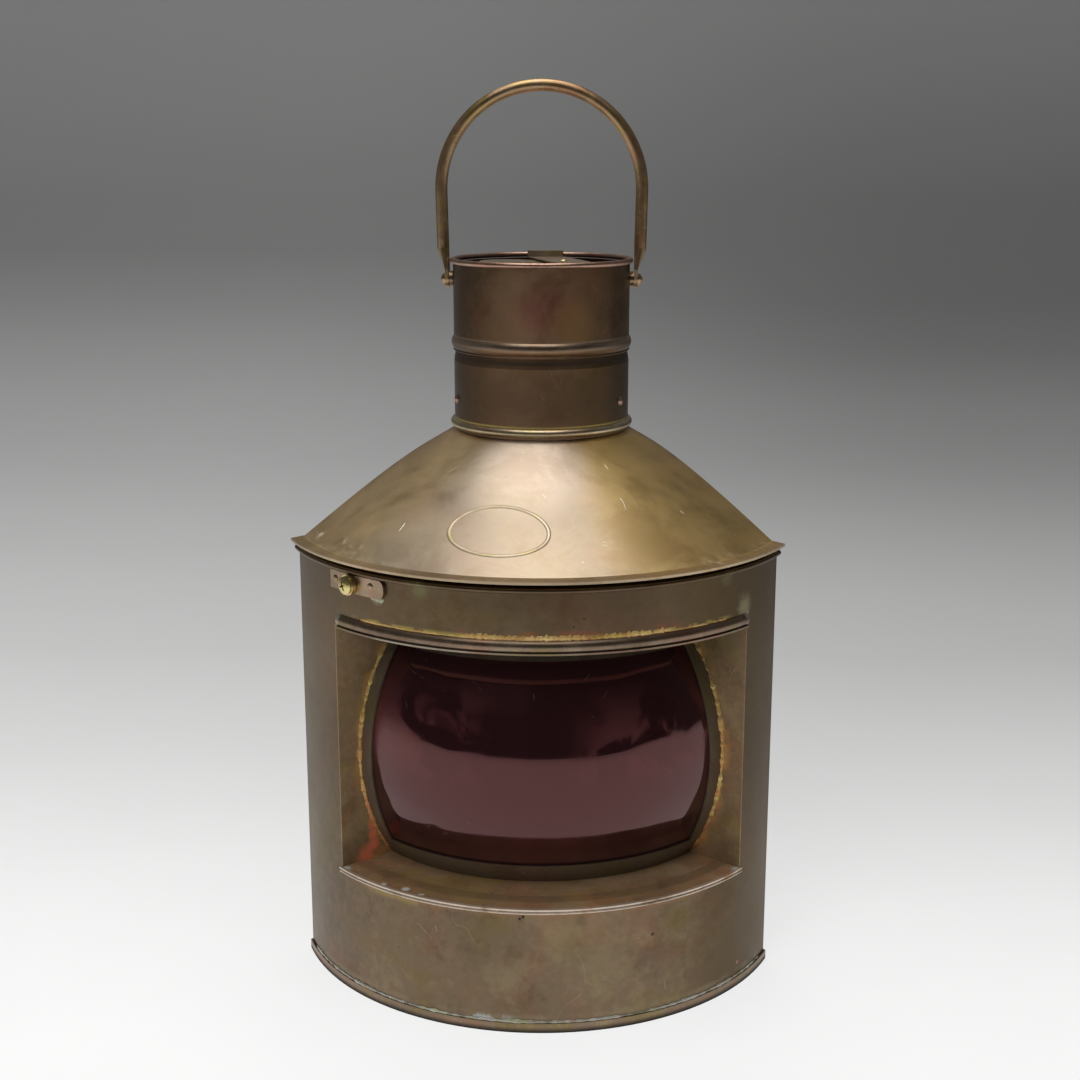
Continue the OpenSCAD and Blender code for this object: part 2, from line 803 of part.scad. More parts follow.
module chimney_lower_tube() {
    foot_z = roof_z(tube_r - tube_sheet) + seam;
    swage_z = bell_z - 3 * seam;
    color(dark_brass) difference() {
        rotate_extrude() polygon([
            [tube_r, foot_z], [tube_r, swage_z - swage_h], [swage_r, swage_z], [swage_r, bead_z],
            [swage_r - tube_sheet, bead_z], [swage_r - tube_sheet, swage_z],
            [tube_r - tube_sheet, swage_z - swage_h], [tube_r - tube_sheet, foot_z]
        ]);
        for (a = chimney_rivet_angles) facing(a) translate([0, 0, chimney_rivet_z])
            rod_x(rivet_shank_r + pivot_play, tube_r - 5, tube_r + 5);
    }
}

module chimney_base_ring() {
    ring_in = 0.3;
    color(brass) rotate_extrude() intersection() {
        translate([tube_r + seam - ring_in, ring_z]) circle(r = ring_out + ring_in);
        translate([tube_r + seam, ring_z - 2 * ring_out]) square([2 * ring_out, 4 * ring_out]);
    }
}

module chimney_rivets() {
    color(dark_brass) for (a = chimney_rivet_angles) facing(a) translate([0, 0, chimney_rivet_z])
        rivet_x(rivet_shank_r, neck_r - tube_sheet - 2 * seam, tube_r + seam, 2.5, 1.3, 2.2, 0.7);
}

module chimney_upper_tube() {
    color(dark_brass) difference() {
        rotate_extrude() difference() {
            union() {
                translate([upper_r - tube_sheet, bell_z]) square([tube_sheet, tube_top_z - bell_z]);
                translate([upper_r - hem_r / 2, bell_z + hem_r]) circle(r = hem_r);
                intersection() {
                    translate([bead_centre_r, bead_z]) circle(r = bead_r);
                    translate([upper_r - tube_sheet, bead_z - bead_r]) square([bead_r, 2 * bead_r]);
                }
            }
            translate([bead_centre_r, bead_z]) circle(r = bead_r - tube_sheet);
        }
        translate([0, 0, pivot_z]) rod_x(bail_rivet_r + pivot_play, -upper_r - 5, upper_r + 5);
    }
}

module chimney_rim() {
    color(dark_brass) rotate_extrude() translate([rim_centre_r, rim_z]) circle(r = rim_r);
}

module baffle_plate() {
    color([0.8, 0.74, 0.62]) difference() {
        translate([0, 0, baffle_z]) rotate([0, baffle_tilt, 0])
            cylinder(r = baffle_r, h = baffle_t, center = true);
        translate([baffle_rivet_at[0], baffle_rivet_at[1], baffle_z - 10])
            cylinder(r = rivet_shank_r + pivot_play, h = drill_l);
    }
}

module baffle_strap() {
    inner_y = rim_centre_r - rim_r - 2;
    outer_y = rim_centre_r + rim_r + seam;
    top_z = rim_z + rim_r + seam;
    drop = 3;
    run = 52;
    color([0.8, 0.74, 0.62]) difference() {
        union() {
            translate([-strap_w / 2, inner_y - strap_t, strap_z])
                cube([strap_w, strap_t, top_z + strap_t - strap_z]);
            translate([-strap_w / 2, inner_y - strap_t, top_z])
                cube([strap_w, outer_y + 2 * strap_t - inner_y, strap_t]);
            translate([-strap_w / 2, outer_y, top_z - drop]) cube([strap_w, strap_t, drop + strap_t]);
            translate([0, inner_y - strap_t / 2, strap_z]) rotate([0, 0, strap_turn])
                translate([-strap_w / 2, -run, 0]) cube([strap_w, run, strap_t]);
        }
        translate([baffle_rivet_at[0], baffle_rivet_at[1], baffle_z - 10])
            cylinder(r = rivet_shank_r + pivot_play, h = drill_l);
    }
}

module baffle_rivet() {
    low = baffle_z - baffle_t / 2 - baffle_rivet_at[0] * sin(baffle_tilt) - 2 * seam;
    color(bright_brass) translate([baffle_rivet_at[0], baffle_rivet_at[1], 0]) rotate([0, -90, 0])
        rivet_x(rivet_shank_r, low, strap_z + strap_t + seam, 2.2, 0.8, 2, 0.6);
}

module both_sides() {
    for (side = [0, 1]) mirror([side, 0, 0]) translate([0, 0, pivot_z]) children();
}

module bail_spacers() {
    color("goldenrod") both_sides() difference() {
        rod_x(spacer_r, spacer_x, spacer_x + spacer_t);
        rod_x(bail_rivet_r + pivot_play, spacer_x - 1, spacer_x + spacer_t + 1);
    }
}

module bail_rivets() {
    tail_x = sqrt(pow(upper_r - tube_sheet, 2) - 2.8 * 2.8) - seam;
    color(dark_brass) both_sides()
        rivet_x(bail_rivet_r, tail_x, ear_x + ear_t + seam, rivet_head_r, rivet_head_h, 2.8, 1.2);
}

// One leg: flattened ear, blend to the round tube, and the leaning tube up to the arch
module bail_leg() {
    leg_l = (bail_leg_h - bail_arch_r * sin(bail_lean) - leg_low) / cos(bail_lean);
    leg_x = bail_arch_r * cos(bail_lean) - leg_l * sin(bail_lean);
    difference() {
        union() {
            rod_x(ear_w / 2, ear_x, ear_x + ear_t);
            translate([ear_x, -ear_w / 2, 0]) cube([ear_t, ear_w, ear_top]);
        }
        rod_x(bail_rivet_r + pivot_play, ear_x - 1, ear_x + ear_t + 1);
    }
    hull() {
        translate([ear_x, -ear_w / 2, ear_top]) cube([ear_t, ear_w, 0.02]);
        translate([leg_x, 0, leg_low]) rotate([0, bail_lean, 0])
            cylinder(r = bail_tube_r - 0.03, h = 1, $fn = 32);
    }
    translate([leg_x, 0, leg_low]) rotate([0, bail_lean, 0]) {
        cylinder(r = bail_tube_r, h = leg_l - seam);
        translate([0, 0, leg_l]) sphere(r = bail_tube_r + 0.02);
    }
}

module bail_handle() {
    color(brass) {
        both_sides() bail_leg();
        translate([0, 0, pivot_z + bail_leg_h]) rotate([90, 0, 0]) rotate([0, 0, -bail_lean])
            rotate_extrude(angle = 180 + 2 * bail_lean) translate([bail_arch_r, 0])
                circle(r = bail_tube_r);
    }
}

front_wall();
left_back_plate();
right_back_plate();
base_pan();
top_rim();
window_head();
window_sill();
left_cheek();
right_cheek();
lens_bezel();
lens_glass();
lens_clips();
lock_plate();
lock_plate_rivets();
lock_washer();
lock_screw();
lock_nut();
body_hinge_leaf();
body_hinge_rivets();
hinge_pin();
font_seat_ring();
oil_font();
font_collar();
burner_body();
wick_tube();
flame_deflector();
roof_cone();
left_roof_back_plate();
right_roof_back_plate();
lid_skirt();
lid_hinge_leaf();
lid_hinge_rivets();
chimney_lower_tube();
chimney_base_ring();
chimney_rivets();
chimney_upper_tube();
chimney_rim();
baffle_plate();
baffle_strap();
baffle_rivet();
bail_spacers();
bail_rivets();
bail_handle();
wick();
wick_shaft();
winder_knob();
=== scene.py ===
"""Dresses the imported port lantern: aged brass, red glass, solder, stage, lights and camera. Metres throughout."""
import math
import random

import bpy
import numpy as np
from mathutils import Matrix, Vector


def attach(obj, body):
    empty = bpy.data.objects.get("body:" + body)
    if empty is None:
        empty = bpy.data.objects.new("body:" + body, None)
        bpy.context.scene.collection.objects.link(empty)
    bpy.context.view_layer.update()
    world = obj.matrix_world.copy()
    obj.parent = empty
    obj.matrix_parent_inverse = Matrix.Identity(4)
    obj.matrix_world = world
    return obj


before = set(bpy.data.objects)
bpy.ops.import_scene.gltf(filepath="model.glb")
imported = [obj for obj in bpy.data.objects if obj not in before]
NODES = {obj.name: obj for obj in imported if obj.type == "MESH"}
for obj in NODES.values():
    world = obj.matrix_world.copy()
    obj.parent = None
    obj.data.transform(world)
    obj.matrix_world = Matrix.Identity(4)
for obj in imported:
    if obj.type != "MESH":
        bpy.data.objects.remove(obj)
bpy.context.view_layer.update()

MM = 0.001

# The forms of the part that the dressing follows, in millimetres and degrees
WALL_R = 130.0
BODY_H = 224.0
LEFT_A, RIGHT_A = -48.1, 53.5
SILL_Z, HEAD_Z, ROLL_H = 65.0, 192.0, 6.6
BARREL_R, BARREL_CURVE, BARREL_Z = 118.0, 98.0, 122.0
CONE_Z, CONE_R, CONE_SLOPE = 275.0, 47.2, 0.5987
BRIM_Z, BRIM_R = 227.4, 126.7


def barrel(z):
    """Radius of the lens barrel's outside at height z."""
    return BARREL_R - BARREL_CURVE + math.sqrt(BARREL_CURVE ** 2 - (z - BARREL_Z) ** 2)


def on_wall(angle, z, r=WALL_R):
    """The point at that angle from the front, positive to the right, in millimetres."""
    a = math.radians(angle)
    return Vector((r * math.sin(a), -r * math.cos(a), z))


def out_of_wall(angle):
    a = math.radians(angle)
    return Vector((math.sin(a), -math.cos(a), 0))


def cone_top(r):
    return CONE_Z - (r - CONE_R) * CONE_SLOPE


# ---------------------------------------------------------------- materials

class Graph:
    """A material's nodes, built by calls that return sockets."""

    def __init__(self, name):
        self.material = bpy.data.materials.new(name)
        self.material.use_nodes = True
        self.tree = self.material.node_tree
        self.tree.nodes.clear()
        self.out = self.tree.nodes.new("ShaderNodeOutputMaterial")
        self.place = self.make("ShaderNodeTexCoord").outputs["Object"]
        self.splits = {}

    def make(self, kind, inputs=None, **properties):
        node = self.tree.nodes.new(kind)
        for key, value in properties.items():
            setattr(node, key, value)
        for key, value in (inputs or {}).items():
            self.feed(node.inputs[key], value)
        return node

    def feed(self, socket, value):
        if isinstance(value, bpy.types.NodeSocket):
            self.tree.links.new(value, socket)
        elif isinstance(value, tuple) and len(value) == 3 and socket.type == "RGBA":
            socket.default_value = (*value, 1)
        else:
            socket.default_value = value

    def math(self, operation, a, b=0.0, c=0.0):
        node = self.make("ShaderNodeMath", operation=operation)
        for socket, value in zip(node.inputs, (a, b, c)):
            self.feed(socket, value)
        return node.outputs[0]

    def noise(self, scale, detail=3.0, roughness=0.55, stretch=(1, 1, 1), distortion=0.0, shift=0.0):
        where = self.make("ShaderNodeMapping", {"Vector": self.place, "Scale": stretch, "Location": (shift, shift, shift)})
        node = self.make("ShaderNodeTexNoise", {"Vector": where.outputs[0], "Scale": scale, "Detail": detail,
                                                "Roughness": roughness, "Distortion": distortion})
        return node.outputs["Fac"]

    def cells(self, scale, feature="F1", randomness=1.0):
        node = self.make("ShaderNodeTexVoronoi", {"Vector": self.place, "Scale": scale, "Randomness": randomness},
                         feature=feature)
        return node.outputs["Distance"]

    def band(self, value, low, high, to_low=0.0, to_high=1.0):
        """value eased from low..high to to_low..to_high."""
        node = self.make("ShaderNodeMapRange", {"Value": value, "From Min": low, "From Max": high,
                                                "To Min": to_low, "To Max": to_high}, interpolation_type="SMOOTHSTEP")
        return node.outputs[0]

    def bell(self, value, centre, half):
        """1 at centre, falling smoothly to 0 at half away."""
        away = self.math("ABSOLUTE", self.math("SUBTRACT", value, centre))
        return self.band(away, 0.0, half, 1.0, 0.0)

    def mix(self, share, a, b, blend="MIX"):
        node = self.make("ShaderNodeMix", data_type="RGBA", blend_type=blend)
        node.clamp_factor = True
        self.feed(node.inputs[0], share)
        self.feed(node.inputs[6], a)
        self.feed(node.inputs[7], b)
        return node.outputs[2]

    def mixf(self, share, a, b):
        node = self.make("ShaderNodeMix", data_type="FLOAT")
        self.feed(node.inputs[0], share)
        self.feed(node.inputs[2], a)
        self.feed(node.inputs[3], b)
        return node.outputs[0]

    def product(self, *values):
        total = values[0]
        for value in values[1:]:
            total = self.math("MULTIPLY", total, value)
        return total

    def axis(self, name):
        """The place's x, y, z, its radius from the lamp's axis, or its angle from the front, in metres and degrees."""
        if not self.splits:
            split = self.make("ShaderNodeSeparateXYZ", {"Vector": self.place})
            x, y, z = split.outputs
            radius = self.math("SQRT", self.math("ADD", self.product(x, x), self.product(y, y)))
            angle = self.math("DEGREES", self.math("ARCTAN2", x, self.math("MULTIPLY", y, -1.0)))
            self.splits = {"x": x, "y": y, "z": z, "r": radius, "a": angle}
        return self.splits[name]

    def ramp(self, value, low, high, stops):
        """The grey along value, which runs low..high, through the stops (place, grey)."""
        where = self.make("ShaderNodeMapRange", {"Value": value, "From Min": low, "From Max": high}).outputs[0]
        node = self.make("ShaderNodeValToRGB", {"Fac": where})
        points = node.color_ramp.elements
        span = high - low
        for point, (place, grey) in zip((points[0], points[1]), (stops[0], stops[-1])):
            point.position = (place - low) / span
            point.color = (grey, grey, grey, 1)
        for place, grey in stops[1:-1]:
            points.new((place - low) / span).color = (grey, grey, grey, 1)
        return node.outputs[0]

    def bump(self, height, distance, strength=1.0, under=None):
        node = self.make("ShaderNodeBump", {"Height": height, "Distance": distance, "Strength": strength})
        if under is not None:
            self.feed(node.inputs["Normal"], under)
        return node.outputs[0]

    def finish(self, **sockets):
        shader = self.make("ShaderNodeBsdfPrincipled")
        for key, value in sockets.items():
            self.feed(shader.inputs[key.replace("_", " ")], value)
        self.tree.links.new(shader.outputs[0], self.out.inputs["Surface"])
        return self.material


PINKISH, OLIVE = (1.10, 0.94, 0.92), (0.99, 1.02, 0.74)


def aged_brass(name, dark, mid, light, rough=(0.34, 0.48), metal=(0.95, 0.8), cloud=9.0, seed=0.0, stains_and_painted_light=(),
               dents=0.0004, pits=0.5, scratches=0.5, mottle=0.0):
    """Brass with a cloudy patina between pinkish brown and olive, hairline scratches, small pits and a list of
    overlays:
    real marks of the metal, and in some lists painted light and shade. An overlay is a function of the graph that gives
    (share, colour, roughness, metallic). Mottle lays soft patches over all."""
    g = Graph(name)
    big = g.noise(cloud, 3.0, 0.5, distortion=0.8, shift=seed)
    middle = g.noise(cloud * 5, 3.0, 0.6, distortion=0.4, shift=seed + 1)
    fine = g.noise(cloud * 24, 3.0, 0.65, shift=seed + 3)
    cloudy = g.math("ADD", g.product(big, 0.5), g.math("ADD", g.product(middle, 0.3), g.product(fine, 0.2)))
    colour = g.mix(g.band(cloudy, 0.38, 0.5), dark, mid)
    colour = g.mix(g.band(cloudy, 0.5, 0.62), colour, light)
    hue = g.noise(cloud * 1.7, 2.0, 0.5, distortion=1.2, shift=seed + 5)
    colour = g.mix(g.band(hue, 0.52, 0.66, 0.0, 0.9), colour, PINKISH, "MULTIPLY")
    colour = g.mix(g.band(hue, 0.34, 0.48, 0.9, 0.0), colour, OLIVE, "MULTIPLY")
    roughness = g.band(middle, 0.3, 0.7, rough[0], rough[1])
    metallic = g.band(cloudy, 0.35, 0.6, metal[1], metal[0])
    pit = g.product(g.band(g.cells(300), 0.06, 0.14, 1.0, 0.0), g.band(g.noise(70, 2.0, shift=seed + 7), 0.62, 0.7))
    colour = g.mix(g.product(pit, pits), colour, tuple(c * 0.35 for c in dark))
    hair = g.bell(g.noise(cloud * 2.4, 1.0, 0.4, stretch=(1, 1, 0.5), distortion=1.6, shift=seed + 9), 0.5, 0.004)
    hair = g.product(hair, g.band(g.noise(cloud * 4, 2.0, shift=seed + 10), 0.55, 0.64), scratches)
    colour = g.mix(hair, colour, tuple(min(1.0, c * 1.7) for c in light))
    # lay the overlays in turn: real marks of the metal, and painted light and shade where a list holds them
    for overlay in stains_and_painted_light:
        share, tint, overlay_rough, overlay_metal = overlay(g)
        colour = g.mix(share, colour, tint)
        roughness = g.mixf(share, roughness, overlay_rough)
        metallic = g.mixf(share, metallic, overlay_metal)
    if mottle:
        patch = g.noise(cloud * 2.6, 6.0, 0.66, distortion=0.4, shift=seed + 13)
        colour = g.mix(g.product(g.band(patch, 0.38, 0.52, 1.0, 0.0), mottle), colour, (0.66, 0.60, 0.52), "MULTIPLY")
        colour = g.mix(g.product(g.band(patch, 0.54, 0.66), mottle), colour, (1.22, 1.18, 1.12), "MULTIPLY")
        roughness = g.math("ADD", roughness, g.band(patch, 0.38, 0.62, -0.07 * mottle, 0.07 * mottle))
    wavy = g.bump(g.noise(17, 2.0, 0.5, shift=seed + 11), dents)
    rough_skin = g.bump(fine, 0.00003, under=wavy)
    normal = g.bump(g.math("SUBTRACT", g.product(hair, 0.5), pit), 0.00012, under=rough_skin)
    return g.finish(Base_Color=colour, Roughness=roughness, Metallic=metallic, Normal=normal)


def at_height(z, half, colour, rough=0.6, metal=0.2, share=0.9, breakup=(0.45, 0.6), scale=60, angles=None, seed=5.0):
    """A level band of colour at height z, in mm, broken up by noise: real marks of the metal, and in some uses painted
    shade.
    """
    def overlay(g):
        edge = g.bell(g.axis("z"), z * MM, half * MM)
        parts = [edge, g.band(g.noise(scale, 4.0, 0.7, shift=seed), breakup[0], breakup[1]), share]
        if angles:
            parts.append(g.product(g.band(g.axis("a"), angles[0] - 3, angles[0] + 3),
                                   g.band(g.axis("a"), angles[1] - 3, angles[1] + 3, 1.0, 0.0)))
        return g.product(*parts), colour, rough, metal
    return overlay


def spot(place, radius, colour, rough=0.6, metal=0.2, share=0.9, breakup=(0.4, 0.6), scale=90, seed=2.0):
    """A patch of colour round a point, in mm, broken up by noise: real marks of the metal, and in one use a painted
    highlight.
    """
    def overlay(g):
        away = g.make("ShaderNodeVectorMath", operation="DISTANCE")
        g.feed(away.inputs[0], g.place)
        away.inputs[1].default_value = tuple(c * MM for c in place)
        near = g.band(away.outputs["Value"], radius * 0.25 * MM, radius * MM, 1.0, 0.0)
        return g.product(near, g.band(g.noise(scale, 4.0, 0.7, shift=seed), *breakup), share), colour, rough, metal
    return overlay


def by_angle(low, high, colour, rough=0.45, metal=0.8, share=0.6, ease=14.0):
    """A band of colour over all angles from low to high, in degrees from the front; here it carries painted light and
    shade, partly with patina.
    """
    def overlay(g):
        inside = g.product(g.band(g.axis("a"), low - ease, low + ease), g.band(g.axis("a"), high - ease, high + ease, 1.0, 0.0))
        return g.product(inside, share), colour, rough, metal
    return overlay


def by_radius(low, high, colour, rough=0.4, metal=0.9, share=0.8, ease=1.0, breakup=(0.0, 0.1), scale=60, seed=6.0):
    """A band of colour over all radii from low to high, in mm from the lamp's axis, broken up by noise: real marks of
    the metal, and in some uses painted shade and a painted highlight.
    """
    def overlay(g):
        inside = g.product(g.band(g.axis("r"), (low - ease) * MM, (low + ease) * MM),
                           g.band(g.axis("r"), (high - ease) * MM, (high + ease) * MM, 1.0, 0.0))
        return g.product(inside, g.band(g.noise(scale, 4.0, 0.7, shift=seed), *breakup), share), colour, rough, metal
    return overlay


VERDIGRIS = (0.30, 0.33, 0.14)
YELLOW = (0.42, 0.33, 0.09)
OCHRE = (0.52, 0.33, 0.10)
RUST = (0.30, 0.085, 0.03)
STREAK = (0.58, 0.145, 0.07)
ORANGE = (0.48, 0.21, 0.07)
COPPER = (0.32, 0.165, 0.085)
WHITE = (0.60, 0.61, 0.57)
DARK = (0.030, 0.024, 0.018)

def painted_highlight_under_chimney(g):
    """Painted highlight: the top of the roof, under the chimney, lighter toward the front, standing in for light the
    chimney blocks.
    """
    front = g.product(g.band(g.axis("a"), -46.0, -6.0), g.band(g.axis("a"), 2.0, 40.0, 1.0, 0.0))
    return g.product(g.band(g.axis("r"), 0.052, 0.098, 1.0, 0.0), front, 0.95), (1.0, 0.84, 0.69), 0.5, 0.95


body_stains_and_painted_light = (
    # painted shade: the two broad bands darken the wall over its middle and top, leaving it lighter low down, where it
    # reflects the bright floor
    at_height(215.0, 45.0, (0.100, 0.063, 0.035), 0.42, 0.97, 0.65, (0.0, 0.3), 30),
    at_height(130.0, 75.0, (0.105, 0.073, 0.040), 0.42, 0.97, 0.6, (0.0, 0.3), 30),
    # painted light and shade: the wall's left side lighter and cooler, as if lit from the left, and its right side
    # darker
    by_angle(-100, -55, (0.20, 0.165, 0.102), 0.45, 0.97, 0.5),
    by_angle(38, 100, (0.092, 0.062, 0.028), 0.45, 0.97, 0.8),
    at_height(201.0, 3.0, RUST, 0.6, 0.3, 0.6, (0.5, 0.6), 80, (-14, 32), 9.0),
    at_height(199.6, 1.7, YELLOW, 0.55, 0.35, 0.8, (0.38, 0.5), 70, (-40, 46)),
    at_height(190.5, 3.0, ORANGE, 0.6, 0.2, 0.5, (0.45, 0.6), 60, (-46, -34), 3.0),
    at_height(62.5, 3.2, COPPER, 0.42, 0.8, 0.65, (0.3, 0.5), 40, (-42, 40), 4.0),
    at_height(61.0, 3.0, YELLOW, 0.5, 0.5, 0.35, (0.4, 0.55), 50, (-38, -20), 8.0),
    at_height(7.5, 3.0, (0.30, 0.23, 0.14), 0.45, 0.7, 0.4, (0.4, 0.6), 50, (-64, 64), 12.0),
    at_height(6.6, 3.0, (0.46, 0.48, 0.45), 0.5, 0.5, 0.8, (0.42, 0.55), 60, (-13, -4), 6.0),
    spot(on_wall(8.7, 47.7), 17, (0.26, 0.215, 0.105), 0.42, 0.8, 0.5, (0.35, 0.6), 40, 3.0),
    spot(on_wall(16, 21.2), 12, (0.27, 0.22, 0.11), 0.42, 0.8, 0.55, (0.35, 0.6), 60, 4.0),
    spot(on_wall(27.5, 30), 13, (0.11, 0.08, 0.055), 0.42, 0.8, 0.6, (0.35, 0.6), 40, 5.0),
    spot(on_wall(-13.6, 39.2), 7, (0.11, 0.08, 0.055), 0.42, 0.8, 0.55, (0.3, 0.6), 60, 6.0),
    spot(on_wall(11.2, 58.3), 4, DARK, 0.5, 0.6, 0.3, (0.3, 0.6), 90, 7.0),
    spot(on_wall(-1.7, 59.7), 1.0, (0.01, 0.008, 0.006), 0.8, 0.1, 1.0, (0.0, 0.1)),
    spot(on_wall(-1.0, 60.8), 1.1, (0.01, 0.008, 0.006), 0.8, 0.1, 1.0, (0.0, 0.1)),
    spot(on_wall(27.5, 46), 1.3, DARK, 0.6, 0.3, 0.9, (0.0, 0.1)),
    spot(on_wall(9.4, 205), 0.9, DARK, 0.6, 0.3, 0.9, (0.0, 0.1)),
    spot(on_wall(11.5, 208.6), 0.9, DARK, 0.6, 0.3, 0.9, (0.0, 0.1)),
    spot(on_wall(53.4, 12.2), 1.6, (0.42, 0.17, 0.12), 0.6, 0.1, 0.9, (0.0, 0.2)),
    spot(on_wall(-23.3, 220.6), 8, VERDIGRIS, 0.55, 0.3, 0.3, (0.4, 0.6), 60, 8.0),
    spot(on_wall(45.7, 219.8), 6, VERDIGRIS, 0.55, 0.3, 0.22, (0.4, 0.6), 60, 9.0),
    spot(on_wall(51.4, 202.8), 9, (0.33, 0.30, 0.17), 0.5, 0.5, 0.6, (0.3, 0.6), 50, 2.0),
    spot(on_wall(53.0, 197.5), 3.5, WHITE, 0.6, 0.2, 0.6, (0.35, 0.55), 90, 3.0),
    spot(on_wall(-33.7, 212), 5, (0.36, 0.33, 0.17), 0.5, 0.4, 0.6, (0.3, 0.55), 60, 4.0),
)
body_brass = aged_brass("body_brass", (0.115, 0.080, 0.050), (0.180, 0.129, 0.083), (0.240, 0.182, 0.112),
                        rough=(0.33, 0.46), metal=(1.0, 0.92), stains_and_painted_light=body_stains_and_painted_light, mottle=0.5)
# the first entry is a painted contact shadow: near-black along the bottom edge of the pan
pan_stains_and_painted_shadow = (at_height(0.0, 3.3, (0.012, 0.010, 0.009), 0.8, 0.1, 1.0, (0.0, 0.1)),
              at_height(6.5, 2.2, (0.48, 0.50, 0.47), 0.5, 0.3, 0.7, (0.45, 0.58), 70, (-60, -12), 3.0))
pan_brass = aged_brass("pan_brass", (0.16, 0.108, 0.068), (0.24, 0.17, 0.112), (0.32, 0.24, 0.165), rough=(0.34, 0.48),
                       metal=(0.9, 0.75), cloud=16, seed=2.0, stains_and_painted_light=pan_stains_and_painted_shadow)
roll_stains_and_painted_shade = (
    spot(on_wall(-45.8, 196.2), 3.5, WHITE, 0.55, 0.3, 0.7, (0.3, 0.5), 90, 2.0),
    spot(on_wall(52.3, 196.6), 3.0, WHITE, 0.55, 0.3, 0.7, (0.3, 0.5), 90, 5.0),
    at_height(192.4, 1.2, (0.42, 0.37, 0.29), 0.4, 0.8, 0.7, (0.35, 0.55), 50, (-34, -10), 3.0),
    # painted shade: the underside of the head, inside the lamp, near-black
    by_radius(90, 127, DARK, 0.8, 0.1, 0.9),
)
roll_brass = aged_brass("roll_brass", (0.15, 0.105, 0.07), (0.22, 0.16, 0.112), (0.30, 0.23, 0.165), rough=(0.3, 0.42),
                        metal=(0.95, 0.85), cloud=20, seed=6.0, stains_and_painted_light=roll_stains_and_painted_shade, dents=0.0002)


def bezel_edge(g):
    """The edge of the cheeks along the bezel, where flux and rust crept out of the solder."""
    rise = g.math("SUBTRACT", g.axis("z"), BARREL_Z * MM)
    edge = g.math("SQRT", g.math("SUBTRACT", (BARREL_CURVE * MM) ** 2, g.product(rise, rise)))
    edge = g.math("ADD", edge, (BARREL_R - BARREL_CURVE) * MM)
    near = g.band(g.math("SUBTRACT", g.axis("r"), edge), 0.001, 0.007, 1.0, 0.0)
    return g.product(near, g.band(g.noise(75, 4.0, 0.7, shift=4.0), 0.42, 0.58), 0.75), (0.50, 0.25, 0.08), 0.55, 0.3


cheek_stains = (
    bezel_edge,
    spot((-83.2, -74.6, 83), 4.2, STREAK, 0.6, 0.1, 1.0, (0.1, 0.3), 160, 2.0),
    spot((-83.1, -74.5, 77.5), 4.4, STREAK, 0.6, 0.1, 1.0, (0.1, 0.3), 160, 3.0),
    spot((-82.6, -74.2, 72), 5.4, STREAK, 0.6, 0.1, 1.0, (0.15, 0.35), 160, 3.5),
    spot((-85.5, -76.6, 66.5), 9.5, STREAK, 0.6, 0.1, 0.95, (0.36, 0.48), 120, 4.0),
    spot((-78.0, -70.0, 66), 9.0, ORANGE, 0.55, 0.3, 0.6, (0.36, 0.55), 90, 5.0),
    spot((-91.0, -81.7, 150), 20, (0.20, 0.165, 0.06), 0.5, 0.4, 0.5, (0.35, 0.6), 40, 6.0),
    spot((98.9, -73.2, 183), 10, (0.24, 0.19, 0.09), 0.5, 0.4, 0.5, (0.35, 0.6), 40, 7.0),
    spot((87.5, -64.7, 86), 12, ORANGE, 0.55, 0.3, 0.45, (0.4, 0.58), 70, 8.0),
    spot((90.5, -67.0, 130), 16, ORANGE, 0.55, 0.3, 0.25, (0.42, 0.6), 60, 9.0),
    spot((99.0, -73.0, 70), 14, (0.10, 0.055, 0.03), 0.55, 0.3, 0.6, (0.3, 0.6), 40, 9.0),
)
window_brass = aged_brass("window_brass", (0.15, 0.095, 0.048), (0.225, 0.148, 0.078), (0.29, 0.205, 0.11),
                          rough=(0.4, 0.52), metal=(0.45, 0.25), cloud=18, seed=4.0, stains_and_painted_light=cheek_stains, mottle=0.4)
sill_stains_and_painted_light = (
    # darker at the back of the sill, along the bezel
    by_radius(116, 123, (0.16, 0.11, 0.06), 0.45, 0.5, 0.4),
    spot(on_wall(14, 65, 124), 17, ORANGE, 0.5, 0.3, 0.45, (0.38, 0.6), 50, 2.0),
    spot(on_wall(-30, 65, 121), 14, COPPER, 0.5, 0.3, 0.6, (0.35, 0.6), 50, 3.0),
    spot(on_wall(-34.2, 65, 128.7), 2.2, WHITE, 0.5, 0.2, 0.8, (0.3, 0.5), 160, 4.0),
    spot(on_wall(-28.7, 65, 127.1), 3.0, WHITE, 0.5, 0.2, 0.9, (0.25, 0.45), 160, 5.0),
    spot(on_wall(-24.1, 65, 128.9), 2.2, WHITE, 0.5, 0.2, 0.7, (0.35, 0.5), 160, 6.0),
    spot(on_wall(-46.5, 66, 130), 4.0, WHITE, 0.5, 0.3, 0.9, (0.3, 0.5), 120, 7.0),
    spot(on_wall(52.0, 66, 130), 4.0, WHITE, 0.5, 0.3, 0.8, (0.3, 0.5), 120, 8.0),
    # the wired front edge pale: partly rubbed metal, partly a painted highlight along the fold
    by_radius(129.8, 134, (0.72, 0.62, 0.52), 0.34, 0.8, 0.8, 0.3, (0.3, 0.5), 40, 6.0),
)
sill_brass = aged_brass("sill_brass", (0.20, 0.122, 0.06), (0.295, 0.185, 0.10), (0.37, 0.25, 0.145),
                        rough=(0.36, 0.48), metal=(0.4, 0.2), cloud=16, seed=5.0, stains_and_painted_light=sill_stains_and_painted_light, scratches=0.3, mottle=0.4)
bezel_brass = aged_brass("bezel_brass", (0.10, 0.075, 0.05), (0.15, 0.115, 0.078), (0.20, 0.16, 0.11),
                         rough=(0.4, 0.52), metal=(0.7, 0.5), cloud=18, seed=7.0)
